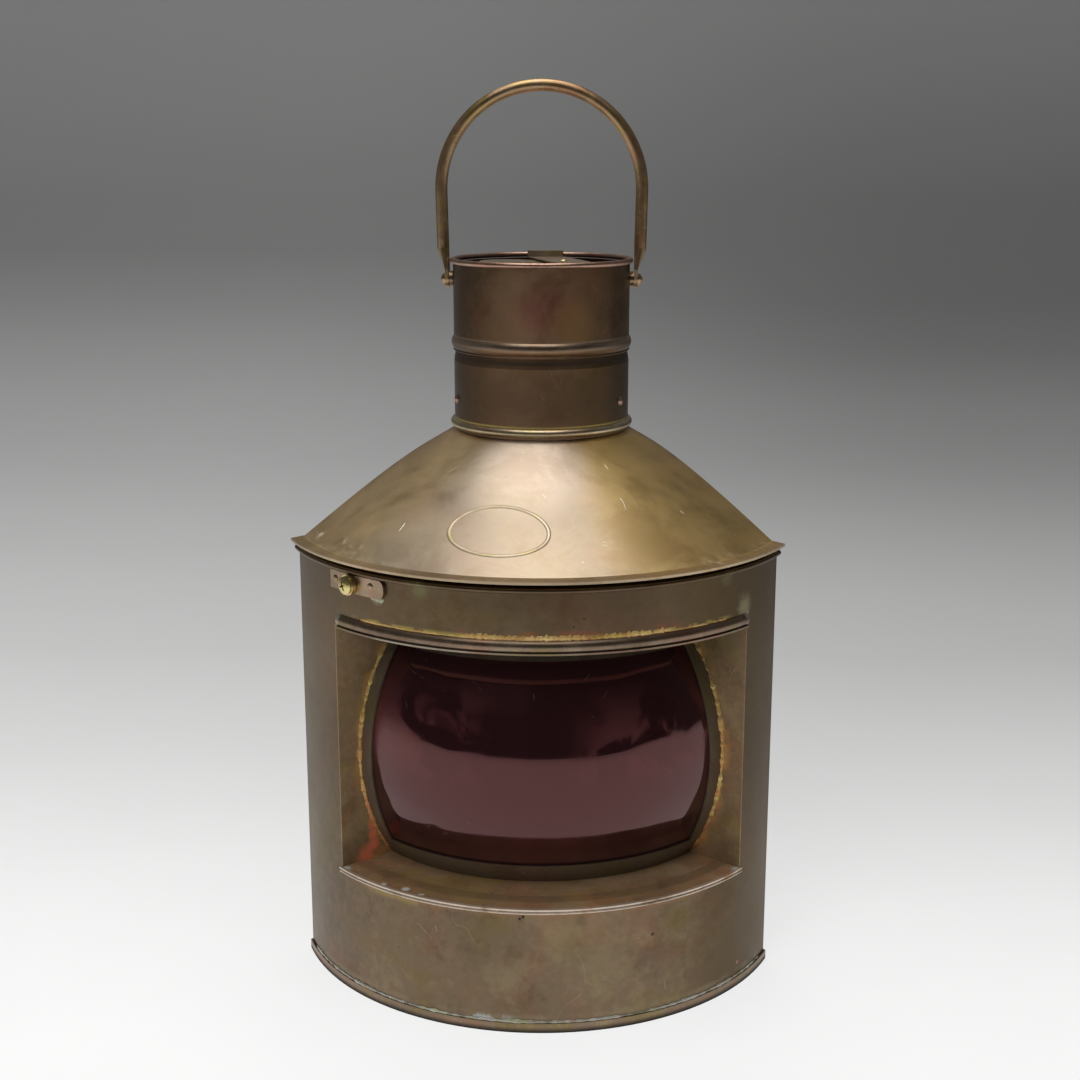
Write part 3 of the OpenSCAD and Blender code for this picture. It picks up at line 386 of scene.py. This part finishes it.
roof_stains_and_painted_light = (
    # a paler, less saturated tone across the front of the roof: partly patina, partly the highlight's whiter colour
    # painted in
    by_angle(-40, 24, (0.35, 0.285, 0.23), 0.42, 0.98, 0.8, 18.0),
    # painted highlight on the roof just under the chimney
    painted_highlight_under_chimney,
    # painted light: both sides of the roof lifted, the left more than the right, to carry the spread of the highlight
    by_angle(-80, -38, (0.88, 0.65, 0.35), 0.42, 0.95, 0.75, 14.0),
    by_angle(24, 90, (0.70, 0.475, 0.18), 0.42, 0.95, 0.75, 12.0),
    # painted highlight: a pale spot low on the left of the roof, where the highlight spreads
    spot(on_wall(-33, cone_top(112), 112), 34, (0.64, 0.52, 0.37), 0.42, 0.98, 0.6, (0.0, 0.1)),
    by_radius(127.5, 140, (0.42, 0.285, 0.13), 0.44, 0.95, 0.7, 1.5),
    by_radius(123.5, 128.0, (0.46, 0.41, 0.30), 0.5, 0.6, 0.3, 1.5, (0.48, 0.62), 90, 3.0),
    spot(on_wall(-49.5, cone_top(122.5), 122.5), 12, (0.52, 0.50, 0.40), 0.55, 0.5, 0.5, (0.5, 0.66), 160, 3.0),
    spot(on_wall(-42, cone_top(123.2), 123.2), 9, (0.52, 0.50, 0.40), 0.55, 0.5, 0.45, (0.5, 0.66), 160, 4.0),
    spot(on_wall(42.6, cone_top(127), 127), 7, (0.56, 0.52, 0.42), 0.55, 0.5, 0.5, (0.45, 0.6), 160, 5.0),
    spot(on_wall(-62, cone_top(122), 122), 3.5, (0.6, 0.58, 0.5), 0.55, 0.4, 0.6, (0.45, 0.6), 200, 5.0),
    by_radius(133.4, 140, (0.62, 0.50, 0.36), 0.36, 1.0, 0.7, 0.3, (0.3, 0.5), 50, 7.0),
)
roof_brass = aged_brass("roof_brass", (0.36, 0.255, 0.12), (0.47, 0.35, 0.19), (0.56, 0.44, 0.27),
                        rough=(0.38, 0.46), metal=(1.0, 0.95), cloud=9, seed=8.0, stains_and_painted_light=roof_stains_and_painted_light, dents=0.00025, mottle=0.45)
# partly rubbed metal, partly a painted highlight: a pale brass, so that the crest of the oval border reads light
rubbed_and_highlit_brass = aged_brass("rubbed_and_highlit_brass", (0.46, 0.36, 0.24), (0.58, 0.47, 0.33), (0.70, 0.59, 0.44), rough=(0.42, 0.5),
                          metal=(0.75, 0.6), cloud=40, seed=51.0, dents=0.0001)
ring_brass = aged_brass("ring_brass", (0.40, 0.32, 0.19), (0.52, 0.43, 0.28), (0.64, 0.55, 0.38),
                        rough=(0.30, 0.38), metal=(1.0, 0.95), cloud=24, seed=9.0, dents=0.0001)
chimney_stains_and_painted_light = (
    # painted light: the front of the chimney lighter than its sides
    by_angle(-24, 20, (0.43, 0.26, 0.155), 0.42, 1.0, 0.6, 20.0),
    spot(on_wall(5.1, 341.3, 45.3), 19, (0.25, 0.095, 0.075), 0.42, 0.95, 0.75, (0.25, 0.55), 40, 3.0),
    spot(on_wall(20.9, 333.8, 45.3), 19, (0.28, 0.155, 0.055), 0.42, 0.95, 0.5, (0.3, 0.6), 40, 4.0),
    at_height(295.0, 24.0, (0.085, 0.058, 0.034), 0.42, 1.0, 0.5, (0.0, 0.1)),
    # painted shadow: a dark band under the lower edge of the bead
    at_height(314.6, 3.6, (0.042, 0.027, 0.016), 0.5, 0.6, 0.95, (0.0, 0.1)),
    at_height(323.0, 3.0, (0.50, 0.38, 0.28), 0.34, 1.0, 0.9, (0.0, 0.2), 30),
    at_height(282.7, 0.9, YELLOW, 0.5, 0.5, 0.8, (0.2, 0.4), 90, None, 6.0),
)
chimney_brass = aged_brass("chimney_brass", (0.088, 0.053, 0.029), (0.126, 0.077, 0.042), (0.17, 0.105, 0.06),
                           rough=(0.36, 0.46), metal=(1.0, 0.9), cloud=14, seed=13.0, stains_and_painted_light=chimney_stains_and_painted_light, dents=0.0002,
                           scratches=0.25, mottle=0.5)
rim_brass = aged_brass("rim_brass", (0.28, 0.165, 0.12), (0.42, 0.265, 0.20), (0.54, 0.37, 0.29),
                       rough=(0.3, 0.4), metal=(1.0, 0.9), cloud=24, seed=15.0, dents=0.0001)
bail_stains = (spot((0, 0, 407), 12, (0.62, 0.58, 0.52), 0.4, 0.7, 0.8, (0.4, 0.52), 200, 3.0),)
bail_brass = aged_brass("bail_brass", (0.27, 0.17, 0.09), (0.39, 0.26, 0.145), (0.50, 0.365, 0.225),
                        rough=(0.3, 0.42), metal=(1.0, 0.85), cloud=30, seed=17.0, stains_and_painted_light=bail_stains, dents=0.0001)
bright_brass = aged_brass("bright_brass", (0.45, 0.35, 0.16), (0.66, 0.54, 0.27), (0.80, 0.69, 0.40),
                          rough=(0.28, 0.38), metal=(1.0, 0.95), cloud=90, seed=21.0, dents=0.00005)
plate_brass = aged_brass("plate_brass", (0.22, 0.15, 0.10), (0.32, 0.23, 0.155), (0.43, 0.33, 0.23),
                         rough=(0.28, 0.4), metal=(1.0, 0.9), cloud=50, seed=25.0, dents=0.0001)
pale_brass = aged_brass("pale_brass", (0.21, 0.155, 0.105), (0.30, 0.23, 0.165), (0.40, 0.325, 0.24),
                        rough=(0.34, 0.46), metal=(0.9, 0.7), cloud=50, seed=29.0, dents=0.0001)
solder = aged_brass("solder", (0.28, 0.26, 0.20), (0.46, 0.46, 0.40), (0.66, 0.67, 0.62),
                    rough=(0.35, 0.55), metal=(0.75, 0.5), cloud=70, seed=33.0, dents=0.0002)
line_stains = (at_height(95, 75, ORANGE, 0.5, 0.4, 0.9, (0.38, 0.52), 60, None, 3.0),
               at_height(75, 28, RUST, 0.6, 0.2, 0.75, (0.42, 0.55), 90, None, 5.0))
yellow_solder = aged_brass("yellow_solder", (0.22, 0.15, 0.05), (0.42, 0.30, 0.10), (0.62, 0.48, 0.20),
                           rough=(0.35, 0.5), metal=(0.6, 0.4), cloud=60, seed=37.0, stains_and_painted_light=line_stains, dents=0.0002)
head_line = aged_brass("head_line", (0.30, 0.16, 0.05), (0.54, 0.35, 0.12), (0.72, 0.52, 0.22),
                       rough=(0.35, 0.5), metal=(0.55, 0.35), cloud=60, seed=41.0, dents=0.0002)
bright_scratch = aged_brass("bright_scratch", (0.5, 0.43, 0.33), (0.66, 0.6, 0.5), (0.8, 0.76, 0.68),
                            rough=(0.3, 0.4), metal=(0.9, 0.7), cloud=120, seed=45.0, dents=0.00002)
scratched_glass = aged_brass("scratched_glass", (0.10, 0.06, 0.06), (0.16, 0.10, 0.10), (0.22, 0.15, 0.15),
                             rough=(0.5, 0.6), metal=(0.1, 0.0), cloud=120, seed=49.0, dents=0.00002)
dull_scratch = aged_brass("dull_scratch", (0.24, 0.18, 0.12), (0.31, 0.25, 0.175), (0.38, 0.31, 0.22),
                          rough=(0.4, 0.5), metal=(0.9, 0.7), cloud=120, seed=47.0, dents=0.00002)


def red_glass():
    g = Graph("red_glass")
    haze = g.noise(30, 4.0, 0.7)
    dust = g.band(g.noise(700, 2.0, 0.6), 0.72, 0.8)
    colour = g.mix(g.product(dust, 0.3), (0.026, 0.008, 0.0095), (0.4, 0.32, 0.32))
    # patches of film beside the middle blur what the glass reflects, and light up a little
    film = g.product(g.bell(g.axis("z"), 0.142, 0.03), g.band(g.math("ABSOLUTE", g.axis("a")), 7.0, 22.0),
                     g.band(g.noise(34, 3.0, 0.6, distortion=1.2, shift=5.0), 0.44, 0.56))
    colour = g.mix(g.product(film, 0.7), colour, (0.125, 0.036, 0.036))
    roughness = g.mixf(film, g.band(haze, 0.35, 0.7, 0.03, 0.085), 0.27)
    away = g.band(g.math("ABSOLUTE", g.axis("a")), 4.0, 36.0, 0.05, 1.0)
    torn = g.product(g.noise(24, 1.0, 0.4, distortion=1.0), away)
    normal = g.bump(torn, 0.0011, under=g.bump(g.noise(22, 1.0, 0.4), 0.0002))
    return g.finish(Base_Color=colour, Roughness=roughness, Metallic=0.0, Normal=normal, IOR=1.6,
                    Specular_IOR_Level=0.9, Specular_Tint=(1.0, 0.46, 0.44), Transmission_Weight=0.4)


def cotton():
    g = Graph("wick_cotton")
    weave = g.make("ShaderNodeTexWave", {"Vector": g.place, "Scale": 160.0, "Distortion": 1.0}, bands_direction="Z")
    colour = g.mix(weave.outputs["Fac"], (0.42, 0.38, 0.3), (0.72, 0.67, 0.56))
    burnt = g.band(g.axis("z"), 88 * MM, 92 * MM)
    colour = g.mix(burnt, colour, (0.03, 0.025, 0.02))
    return g.finish(Base_Color=colour, Roughness=0.9, Normal=g.bump(weave.outputs["Fac"], 0.0004))


wick_cotton = cotton()
glass = red_glass()

FINISHES = {
    "body_brass": (body_brass, "front_wall left_back_plate right_back_plate top_rim lid_skirt font_seat_ring oil_font"),
    "pan_brass": (pan_brass, "base_pan"),
    "roll_brass": (roll_brass, "window_head"),
    "window_brass": (window_brass, "left_cheek right_cheek"),
    "sill_brass": (sill_brass, "window_sill"),
    "bezel_brass": (bezel_brass, "lens_bezel"),
    "roof_brass": (roof_brass, "roof_cone left_roof_back_plate right_roof_back_plate"),
    "ring_brass": (ring_brass, "chimney_base_ring"),
    "chimney_brass": (chimney_brass, "chimney_lower_tube chimney_upper_tube hinge_pin body_hinge_rivets lid_hinge_rivets"),
    "rim_brass": (rim_brass, "chimney_rim chimney_rivets bail_rivets"),
    "bail_brass": (bail_brass, "bail_handle"),
    "bright_brass": (bright_brass, "lock_washer lock_screw lock_nut font_collar burner_body wick_tube flame_deflector "
                     "baffle_rivet wick_shaft winder_knob"),
    "plate_brass": (plate_brass, "lock_plate lock_plate_rivets lens_clips body_hinge_leaf lid_hinge_leaf bail_spacers"),
    "pale_brass": (pale_brass, "baffle_plate baffle_strap"),
    "wick_cotton": (wick_cotton, "wick"),
    "red_glass": (glass, "lens_glass"),
}
for material, names in FINISHES.values():
    for node in names.split():
        mesh = NODES[node].data
        mesh.materials.clear()
        mesh.materials.append(material)


# ---------------------------------------------------------------- pieces

def mesh_piece(name, points, faces, material, body, smooth=True):
    mesh = bpy.data.meshes.new(name)
    mesh.from_pydata([tuple(c * MM for c in p) for p in points], [], faces)
    mesh.update()
    mesh.materials.append(material)
    if smooth:
        mesh.polygons.foreach_set("use_smooth", [True] * len(mesh.polygons))
    piece = bpy.data.objects.new(name, mesh)
    bpy.context.scene.collection.objects.link(piece)
    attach(piece, body)
    return piece


def bead(name, path, normals, width, height, material, body, lumps=0.35, sides=9, sink=0.25, seed=1, closed=False):
    """A lumpy run of solder, half round in section, or, closed, a soft pressed line: along path, standing out along
    normals. In mm."""
    dice = random.Random(seed)
    count = len(path)
    waves = [(dice.uniform(0.5, 1.0), dice.uniform(0, 6.283), k) for k in (3, 7, 13, 29, 47)]
    points, faces = [], []
    for i, (p, n) in enumerate(zip(path, normals)):
        if closed:
            along = (path[(i + 1) % count] - path[i - 1]).normalized()
            ends = 1.0
        else:
            along = (path[min(i + 1, count - 1)] - path[max(i - 1, 0)]).normalized()
            t = i / (count - 1)
            ends = min(1.0, math.sqrt(max(0.0, min(t, 1 - t)) * count / 2.5) + 0.05)
        t = i / count
        lump = sum(a * math.sin(b + 6.283 * k * t) for a, b, k in waves) / len(waves)
        size = ends * (1 + lumps * lump * 2)
        side = along.cross(n).normalized()
        for j in range(sides):
            a = math.pi * j / (sides - 1)
            lift = math.sin(a) ** (2 if closed else 1)
            points.append(p + side * (width / 2 * size * math.cos(a)) + n * (height * size * lift - sink * height))
    rows = count if closed else count - 1
    for i in range(rows):
        for j in range(sides - 1):
            a, b = i * sides + j, ((i + 1) % count) * sides + j
            faces.append((a, a + 1, b + 1, b))
    if not closed:
        for i in range(rows):
            a, b = i * sides, (i + 1) * sides
            faces.append((a, b, b + sides - 1, a + sides - 1))
        faces.append(tuple(range(sides)))
        faces.append(tuple(reversed(range((count - 1) * sides, count * sides))))
    return mesh_piece(name, points, faces, material, body)


def steps(a, b, count):
    return [a + (b - a) * i / (count - 1) for i in range(count)]


# The oval border pressed into the roof, with a bare field inside
OVAL_LEFT, OVAL_RIGHT, OVAL_TOP, OVAL_BOTTOM = (-22.3, 103.4), (4.8, 101.2), (-10.8, 86.9), (-7.0, 115.4)
slope_angle = math.atan(CONE_SLOPE)


def on_cone(flat_angle, slant):
    """A point of the unrolled cone (angle about the tip, distance from it) back on the roof."""
    r = slant * math.cos(slope_angle)
    a = flat_angle / math.cos(slope_angle)
    return on_wall(math.degrees(a), cone_top(r), r), (out_of_wall(math.degrees(a)) * math.sin(slope_angle)
                                                    + Vector((0, 0, math.cos(slope_angle)))).normalized()


def unrolled(angle, r):
    slant = r / math.cos(slope_angle)
    flat = math.radians(angle) * math.cos(slope_angle)
    return np.array([slant * math.sin(flat), -slant * math.cos(flat)])


corners = [unrolled(*p) for p in (OVAL_LEFT, OVAL_RIGHT, OVAL_TOP, OVAL_BOTTOM)]
oval_mid = sum(corners) / 4
oval_u, oval_v = (corners[1] - corners[0]) / 2, (corners[2] - corners[3]) / 2
path, normals = [], []
for i in range(160):
    t = 2 * math.pi * i / 160
    q = oval_mid + oval_u * math.cos(t) + oval_v * math.sin(t)
    p, n = on_cone(math.atan2(q[0], -q[1]), float(np.hypot(*q)))
    path.append(p)
    normals.append(n)
# the border's pale brass is partly a painted highlight along its crest
bead("oval_border", path, normals, 2.2, 0.45, rubbed_and_highlit_brass, "lid", lumps=0.03, sink=0.08, closed=True, seed=3)

# Solder along both sides of the bezel, where it meets the cheeks
for side, angle, inward in (("left", LEFT_A, 1), ("right", RIGHT_A, -1)):
    heights = steps(67.0, 191.0, 120)
    path = [on_wall(angle + inward * 0.5, z, barrel(z) + 0.4) for z in heights]
    normals = [(out_of_wall(angle) + out_of_wall(angle + inward * 90) * 0.8).normalized() for z in heights]
    bead(f"{side}_bezel_solder", path, normals, 3.5, 1.0, yellow_solder, "lantern", seed=11 + inward, lumps=0.7)

# Solder round the foot, where the wall meets the pan
angles = steps(-64, 64, 300)
bead("foot_solder", [on_wall(a, 5.2, WALL_R + 0.2) for a in angles], [out_of_wall(a) for a in angles], 1.7, 0.5, solder,
     "lantern", seed=5, lumps=0.6)

# Solder over the rolled head of the window: a thin line, and a thick one in the middle
for name, low, high, z, width, height, lumps, seed in (("head_solder_line", -39, 46, 199.1, 1.2, 0.35, 0.5, 7),
                                                       ("head_solder_run", -13, 31.5, 199.6, 2.4, 0.45, 0.7, 8)):
    angles = steps(low, high, 260)
    bead(name, [on_wall(a, z) for a in angles], [out_of_wall(a) for a in angles], width, height, head_line,
         "lantern", seed=seed, lumps=lumps)
angles = steps(-35.6, -31.8, 14)
bead("lock_solder_blob", [on_wall(a, 211.7 - abs(a + 33.7) * 0.2) for a in angles], [out_of_wall(a) for a in angles],
     3.4, 0.8, solder, "lantern", seed=15, lumps=0.3)


def marks(name, lines, surface, material, body, width=0.5, height=0.1):
    """Scratches: each a fine ridge of bright metal along its points, given in the surface's own two numbers."""
    points, faces = [], []
    for line in lines:
        spots = [surface(*place) for place in line]
        fine = []
        for (p, n), (q, m) in zip(spots, spots[1:]):
            fine += [(p.lerp(q, i / 6), n.lerp(m, i / 6)) for i in range(6)]
        fine.append(spots[-1])
        start = len(points)
        for i, (p, n) in enumerate(fine):
            along = (fine[min(i + 1, len(fine) - 1)][0] - fine[max(i - 1, 0)][0]).normalized()
            t = i / (len(fine) - 1)
            half = width / 2 * (0.35 + 0.65 * math.sin(math.pi * (0.1 + 0.8 * t)))
            side = along.cross(n).normalized() * half
            points += [p - side - n * 0.05, p + n * height, p + side - n * 0.05]
        for i in range(len(fine) - 1):
            a = start + 3 * i
            faces += [(a, a + 1, a + 4, a + 3), (a + 1, a + 2, a + 5, a + 4)]
    return mesh_piece(name, points, faces, material, body)


def cone_place(angle, r):
    n = out_of_wall(angle) * math.sin(slope_angle) + Vector((0, 0, math.cos(slope_angle)))
    return on_wall(angle, cone_top(r), r), n


def wall_place(angle, z):
    return on_wall(angle, z), out_of_wall(angle)


def tube_place(angle, z):
    return on_wall(angle, z, 45.32), out_of_wall(angle)


marks("roof_scratches", (
    ((-36.9, 107.1), (-37.3, 102.1)), ((18.2, 107.2), (19.4, 108)), ((18, 108.9), (19.3, 110)),
    ((30.2, 83), (30.4, 86.2), (29.5, 90.3)), ((-65.5, 51.6), (-72.5, 48.3)), ((33.1, 61.6), (33.3, 64.9)),
    ((-12.0, 66.0), (-11.6, 73.0)), ((3.0, 78), (4.4, 80.5)), ((-65.5, 121.7), (-64.5, 122.3)),
    ((35.3, 129.4), (36.6, 129.5)), ((12.0, 118.0), (12.5, 118.6)), ((48, 96), (48.4, 98))),
    cone_place, bright_scratch, "lid", 0.45)
marks("wall_scratches", (
    ((-27.9, 51.5), (-24.2, 49.5), (-21.3, 43.5)), ((-20.5, 51.3), (-20.0, 47.5)), ((12.5, 26), (15.5, 20.5)),
    ((15.2, 27), (18.2, 24.5)), ((30.6, 20), (31.0, 14)), ((-58.5, 88), (-57.8, 82)), ((20.1, 45.9), (24.5, 45.2))),
    wall_place, dull_scratch, "lantern", 0.55, 0.08)
def glass_place(angle, z):
    """A point of the glass's face, just inside the sheet of the bezel, at that angle and height."""
    curve = BARREL_CURVE - 1.1
    rise = math.asin((z - BARREL_Z) / curve)
    r = BARREL_R - BARREL_CURVE + curve * math.cos(rise)
    return on_wall(angle, z, r), out_of_wall(angle) * math.cos(rise) + Vector((0, 0, math.sin(rise)))


marks("glass_scratches", (
    ((-37.1, 170.8), (-33.8, 168.7), (-30.0, 166.9)), ((-31.0, 174.9), (-27.0, 171.1)), ((-15.4, 169.0), (-12.7, 165.5)),
    ((40.3, 173.0), (43.3, 174.9)), ((14.3, 170.3), (16.2, 173.0)), ((18.6, 162.0), (20.2, 164.9)),
    ((34.2, 124.6), (36.8, 120.8)), ((35.3, 120.9), (35.7, 124.0)), ((-15.7, 100.8), (-14.4, 99.2)),
    ((-33.7, 155.3), (-32.9, 152.2)), ((0.9, 165.1), (1.1, 162.6)), ((15.4, 154.7), (15.9, 153.5))),
    glass_place, scratched_glass, "lantern", 0.22, 0.04)
marks("chimney_scratches", (
    ((2.0, 299), (4.5, 297.5)), ((14.5, 305), (15.5, 306.5)), ((-58, 303), (-55.5, 300.5)), ((9.0, 311), (9.5, 309)),
    ((-20, 292), (-18.5, 293)), ((35, 290), (35.5, 288))),
    tube_place, dull_scratch, "lid", 0.22, 0.05)


# ---------------------------------------------------------------- stage, lights, camera

# How light the sweep is from front to back (y + z along it), at its left and its right
LEFT_TONES = ((-3.0, 0.30), (-1.6, 0.62), (-0.8, 0.92), (-0.15, 0.956), (-0.05, 0.913), (0.01, 0.871), (0.08, 0.821),
              (0.16, 0.745), (0.25, 0.677), (0.36, 0.617), (0.49, 0.551), (0.65, 0.503), (0.85, 0.445), (1.11, 0.394),
              (1.42, 0.342), (1.67, 0.298), (1.89, 0.249), (2.09, 0.193), (2.28, 0.152), (2.46, 0.150), (2.75, 0.165),
              (3.05, 0.175), (4.5, 0.17))
RIGHT_TONES = ((-3.0, 0.28), (-1.6, 0.58), (-0.8, 0.88), (-0.15, 0.924), (-0.05, 0.874), (0.01, 0.832), (0.08, 0.755),
               (0.16, 0.672), (0.25, 0.604), (0.36, 0.523), (0.49, 0.445), (0.65, 0.397), (0.85, 0.336), (1.11, 0.273),
               (1.42, 0.218), (1.67, 0.182), (1.89, 0.137), (2.09, 0.105), (2.28, 0.098), (2.46, 0.105), (2.75, 0.122),
               (3.05, 0.141), (4.5, 0.15))
LIT_TONES = ((-3.0, 0.35), (-1.6, 0.62), (-0.8, 0.70), (-0.15, 0.70), (0.16, 0.67), (0.49, 0.64), (0.65, 0.59),
             (0.85, 0.55), (1.42, 0.49), (1.89, 0.47), (2.28, 0.42), (3.05, 0.38), (4.5, 0.3))
LIT_SHARE = 0.25


def tone_at(tones, place):
    for (a, low), (b, high) in zip(tones, tones[1:]):
        if a <= place <= b:
            return low + (high - low) * (place - a) / (b - a)
    return tones[-1][1]


def sweep():
    """A pale floor that curves up into a backdrop, lit and faintly glowing, so that it fades to the back as paper does."""
    run = [(-3.0, 0.0), (1.3, 0.0)]
    run += [(1.3 + 1.2 * math.sin(a), 1.2 - 1.2 * math.cos(a)) for a in steps(0.05, math.pi / 2, 24)]
    run += [(2.5, 1.6), (2.5, 4.0)]
    points, faces = [], []
    for y, z in run:
        points += [(-4.0 / MM, y / MM, z / MM), (4.0 / MM, y / MM, z / MM)]
    for i in range(len(run) - 1):
        faces.append((2 * i, 2 * i + 1, 2 * i + 3, 2 * i + 2))
    g = Graph("stage_paper")
    along = g.math("ADD", g.axis("y"), g.axis("z"))
    tones = []
    for side in (LEFT_TONES, RIGHT_TONES):
        glow = [(place, max(0.0, (tone - LIT_SHARE * tone_at(LIT_TONES, place)) / (1 - LIT_SHARE))) for place, tone in side]
        tones.append(g.ramp(along, -3.0, 4.5, glow))
    tone = g.mix(g.band(g.axis("x"), -0.6, 0.6), *tones)
    ray = g.make("ShaderNodeLightPath").outputs
    # far to the sides it fades, for the camera into the grey beyond the paper
    side = g.band(g.math("ABSOLUTE", g.axis("x")), 1.1, 3.8)
    far = g.mix(ray["Is Camera Ray"], (0.0, 0.0, 0.0), (0.32, 0.32, 0.32))
    tone = g.mix(g.product(side, g.mixf(ray["Is Camera Ray"], 0.65, 1.0)), tone, far)
    # reflections see the paper end well in front of the lamp, with a dark room beyond
    end = g.math("MAXIMUM", ray["Is Camera Ray"], g.band(g.axis("y"), -1.72, -1.56, 0.02, 1.0))
    grain = g.band(g.noise(9, 3.0, 0.6), 0.3, 0.7, 0.985, 1.0)
    glow = g.make("ShaderNodeEmission", {"Color": tone, "Strength": g.product(end, grain)}).outputs[0]
    paper = g.make("ShaderNodeBsdfPrincipled", {"Base Color": g.mix(grain, (0.75, 0.75, 0.75), (0.80, 0.80, 0.80)),
                                                "Roughness": 0.9}).outputs[0]
    bounced = g.math("MAXIMUM", ray["Is Glossy Ray"], ray["Is Transmission Ray"])
    seen = g.math("MAXIMUM", g.product(ray["Is Camera Ray"], 1 - LIT_SHARE), g.product(bounced, 0.9))
    both = g.make("ShaderNodeMixShader", {"Fac": seen})
    g.tree.links.new(paper, both.inputs[1])
    g.tree.links.new(glow, both.inputs[2])
    g.tree.links.new(both.outputs[0], g.out.inputs["Surface"])
    mesh = bpy.data.meshes.new("stage_sweep")
    mesh.from_pydata([tuple(c * MM for c in p) for p in points], [], faces)
    mesh.polygons.foreach_set("use_smooth", [True] * len(mesh.polygons))
    mesh.materials.append(g.material)
    floor = bpy.data.objects.new("stage_sweep", mesh)
    bpy.context.scene.collection.objects.link(floor)


def soft_light(name, place, target, size, power, colour=(1, 1, 1)):
    light = bpy.data.lights.new(name, "AREA")
    light.shape = "RECTANGLE"
    light.size, light.size_y = size
    light.energy = power
    light.color = colour
    lamp = bpy.data.objects.new(name, light)
    lamp.location = place
    lamp.rotation_euler = (Vector(target) - Vector(place)).to_track_quat("-Z", "Y").to_euler()
    bpy.context.scene.collection.objects.link(lamp)
    return lamp


def studio():
    """Soft room light for the diffuse bounce, a dark room for reflections, and grey where a side view looks past the paper."""
    world = bpy.data.worlds.new("studio")
    world.use_nodes = True
    tree = world.node_tree
    tree.nodes.clear()
    ray = tree.nodes.new("ShaderNodeLightPath").outputs
    way = tree.nodes.new("ShaderNodeSeparateXYZ")
    tree.links.new(tree.nodes.new("ShaderNodeTexCoord").outputs["Generated"], way.inputs[0])
    room = tree.nodes.new("ShaderNodeMapRange")
    tree.links.new(way.outputs["Y"], room.inputs["Value"])
    for key, value in {"From Min": -0.35, "From Max": 0.4, "To Min": 0.02, "To Max": 0.11}.items():
        room.inputs[key].default_value = value
    last = None
    for fac, strength in ((None, 0.30), ("Is Glossy Ray", room.outputs[0]), ("Is Transmission Ray", 0.03), ("Is Camera Ray", 0.30)):
        back = tree.nodes.new("ShaderNodeBackground")
        back.inputs["Color"].default_value = (1.0, 1.0, 1.0, 1)
        if isinstance(strength, float):
            back.inputs["Strength"].default_value = strength
        else:
            tree.links.new(strength, back.inputs["Strength"])
        if fac is None:
            last = back.outputs[0]
            continue
        both = tree.nodes.new("ShaderNodeMixShader")
        tree.links.new(ray[fac], both.inputs["Fac"])
        tree.links.new(last, both.inputs[1])
        tree.links.new(back.outputs[0], both.inputs[2])
        last = both.outputs[0]
    tree.links.new(last, tree.nodes.new("ShaderNodeOutputWorld").inputs["Surface"])
    bpy.context.scene.world = world


sweep()
studio()
soft_light("top_softbox", (-0.04, 0.22, 1.80), (-0.02, 0.05, 0.2), (0.95, 1.15), 12, (1.0, 0.98, 0.95))
soft_light("overhead", (-0.1, -0.58, 1.75), (0, -0.1, 0.2), (1.3, 0.85), 6.5, (1.0, 0.99, 0.97))
fill = soft_light("front_fill", (-0.7, -1.7, 1.35), (0, 0, 0.15), (1.2, 1.0), 16)
fill.visible_glossy = False
bpy.context.scene.view_settings.view_transform = "Standard"

camera = bpy.data.cameras.new("camera")
camera.lens, camera.sensor_width = 54.344, 36.0
eye = bpy.data.objects.new("camera", camera)
eye.location = (0.0422, -0.8446, 0.4176)
eye.rotation_euler = (math.radians(76.528), 0, math.radians(2.91))
bpy.context.scene.collection.objects.link(eye)
bpy.context.scene.camera = eye
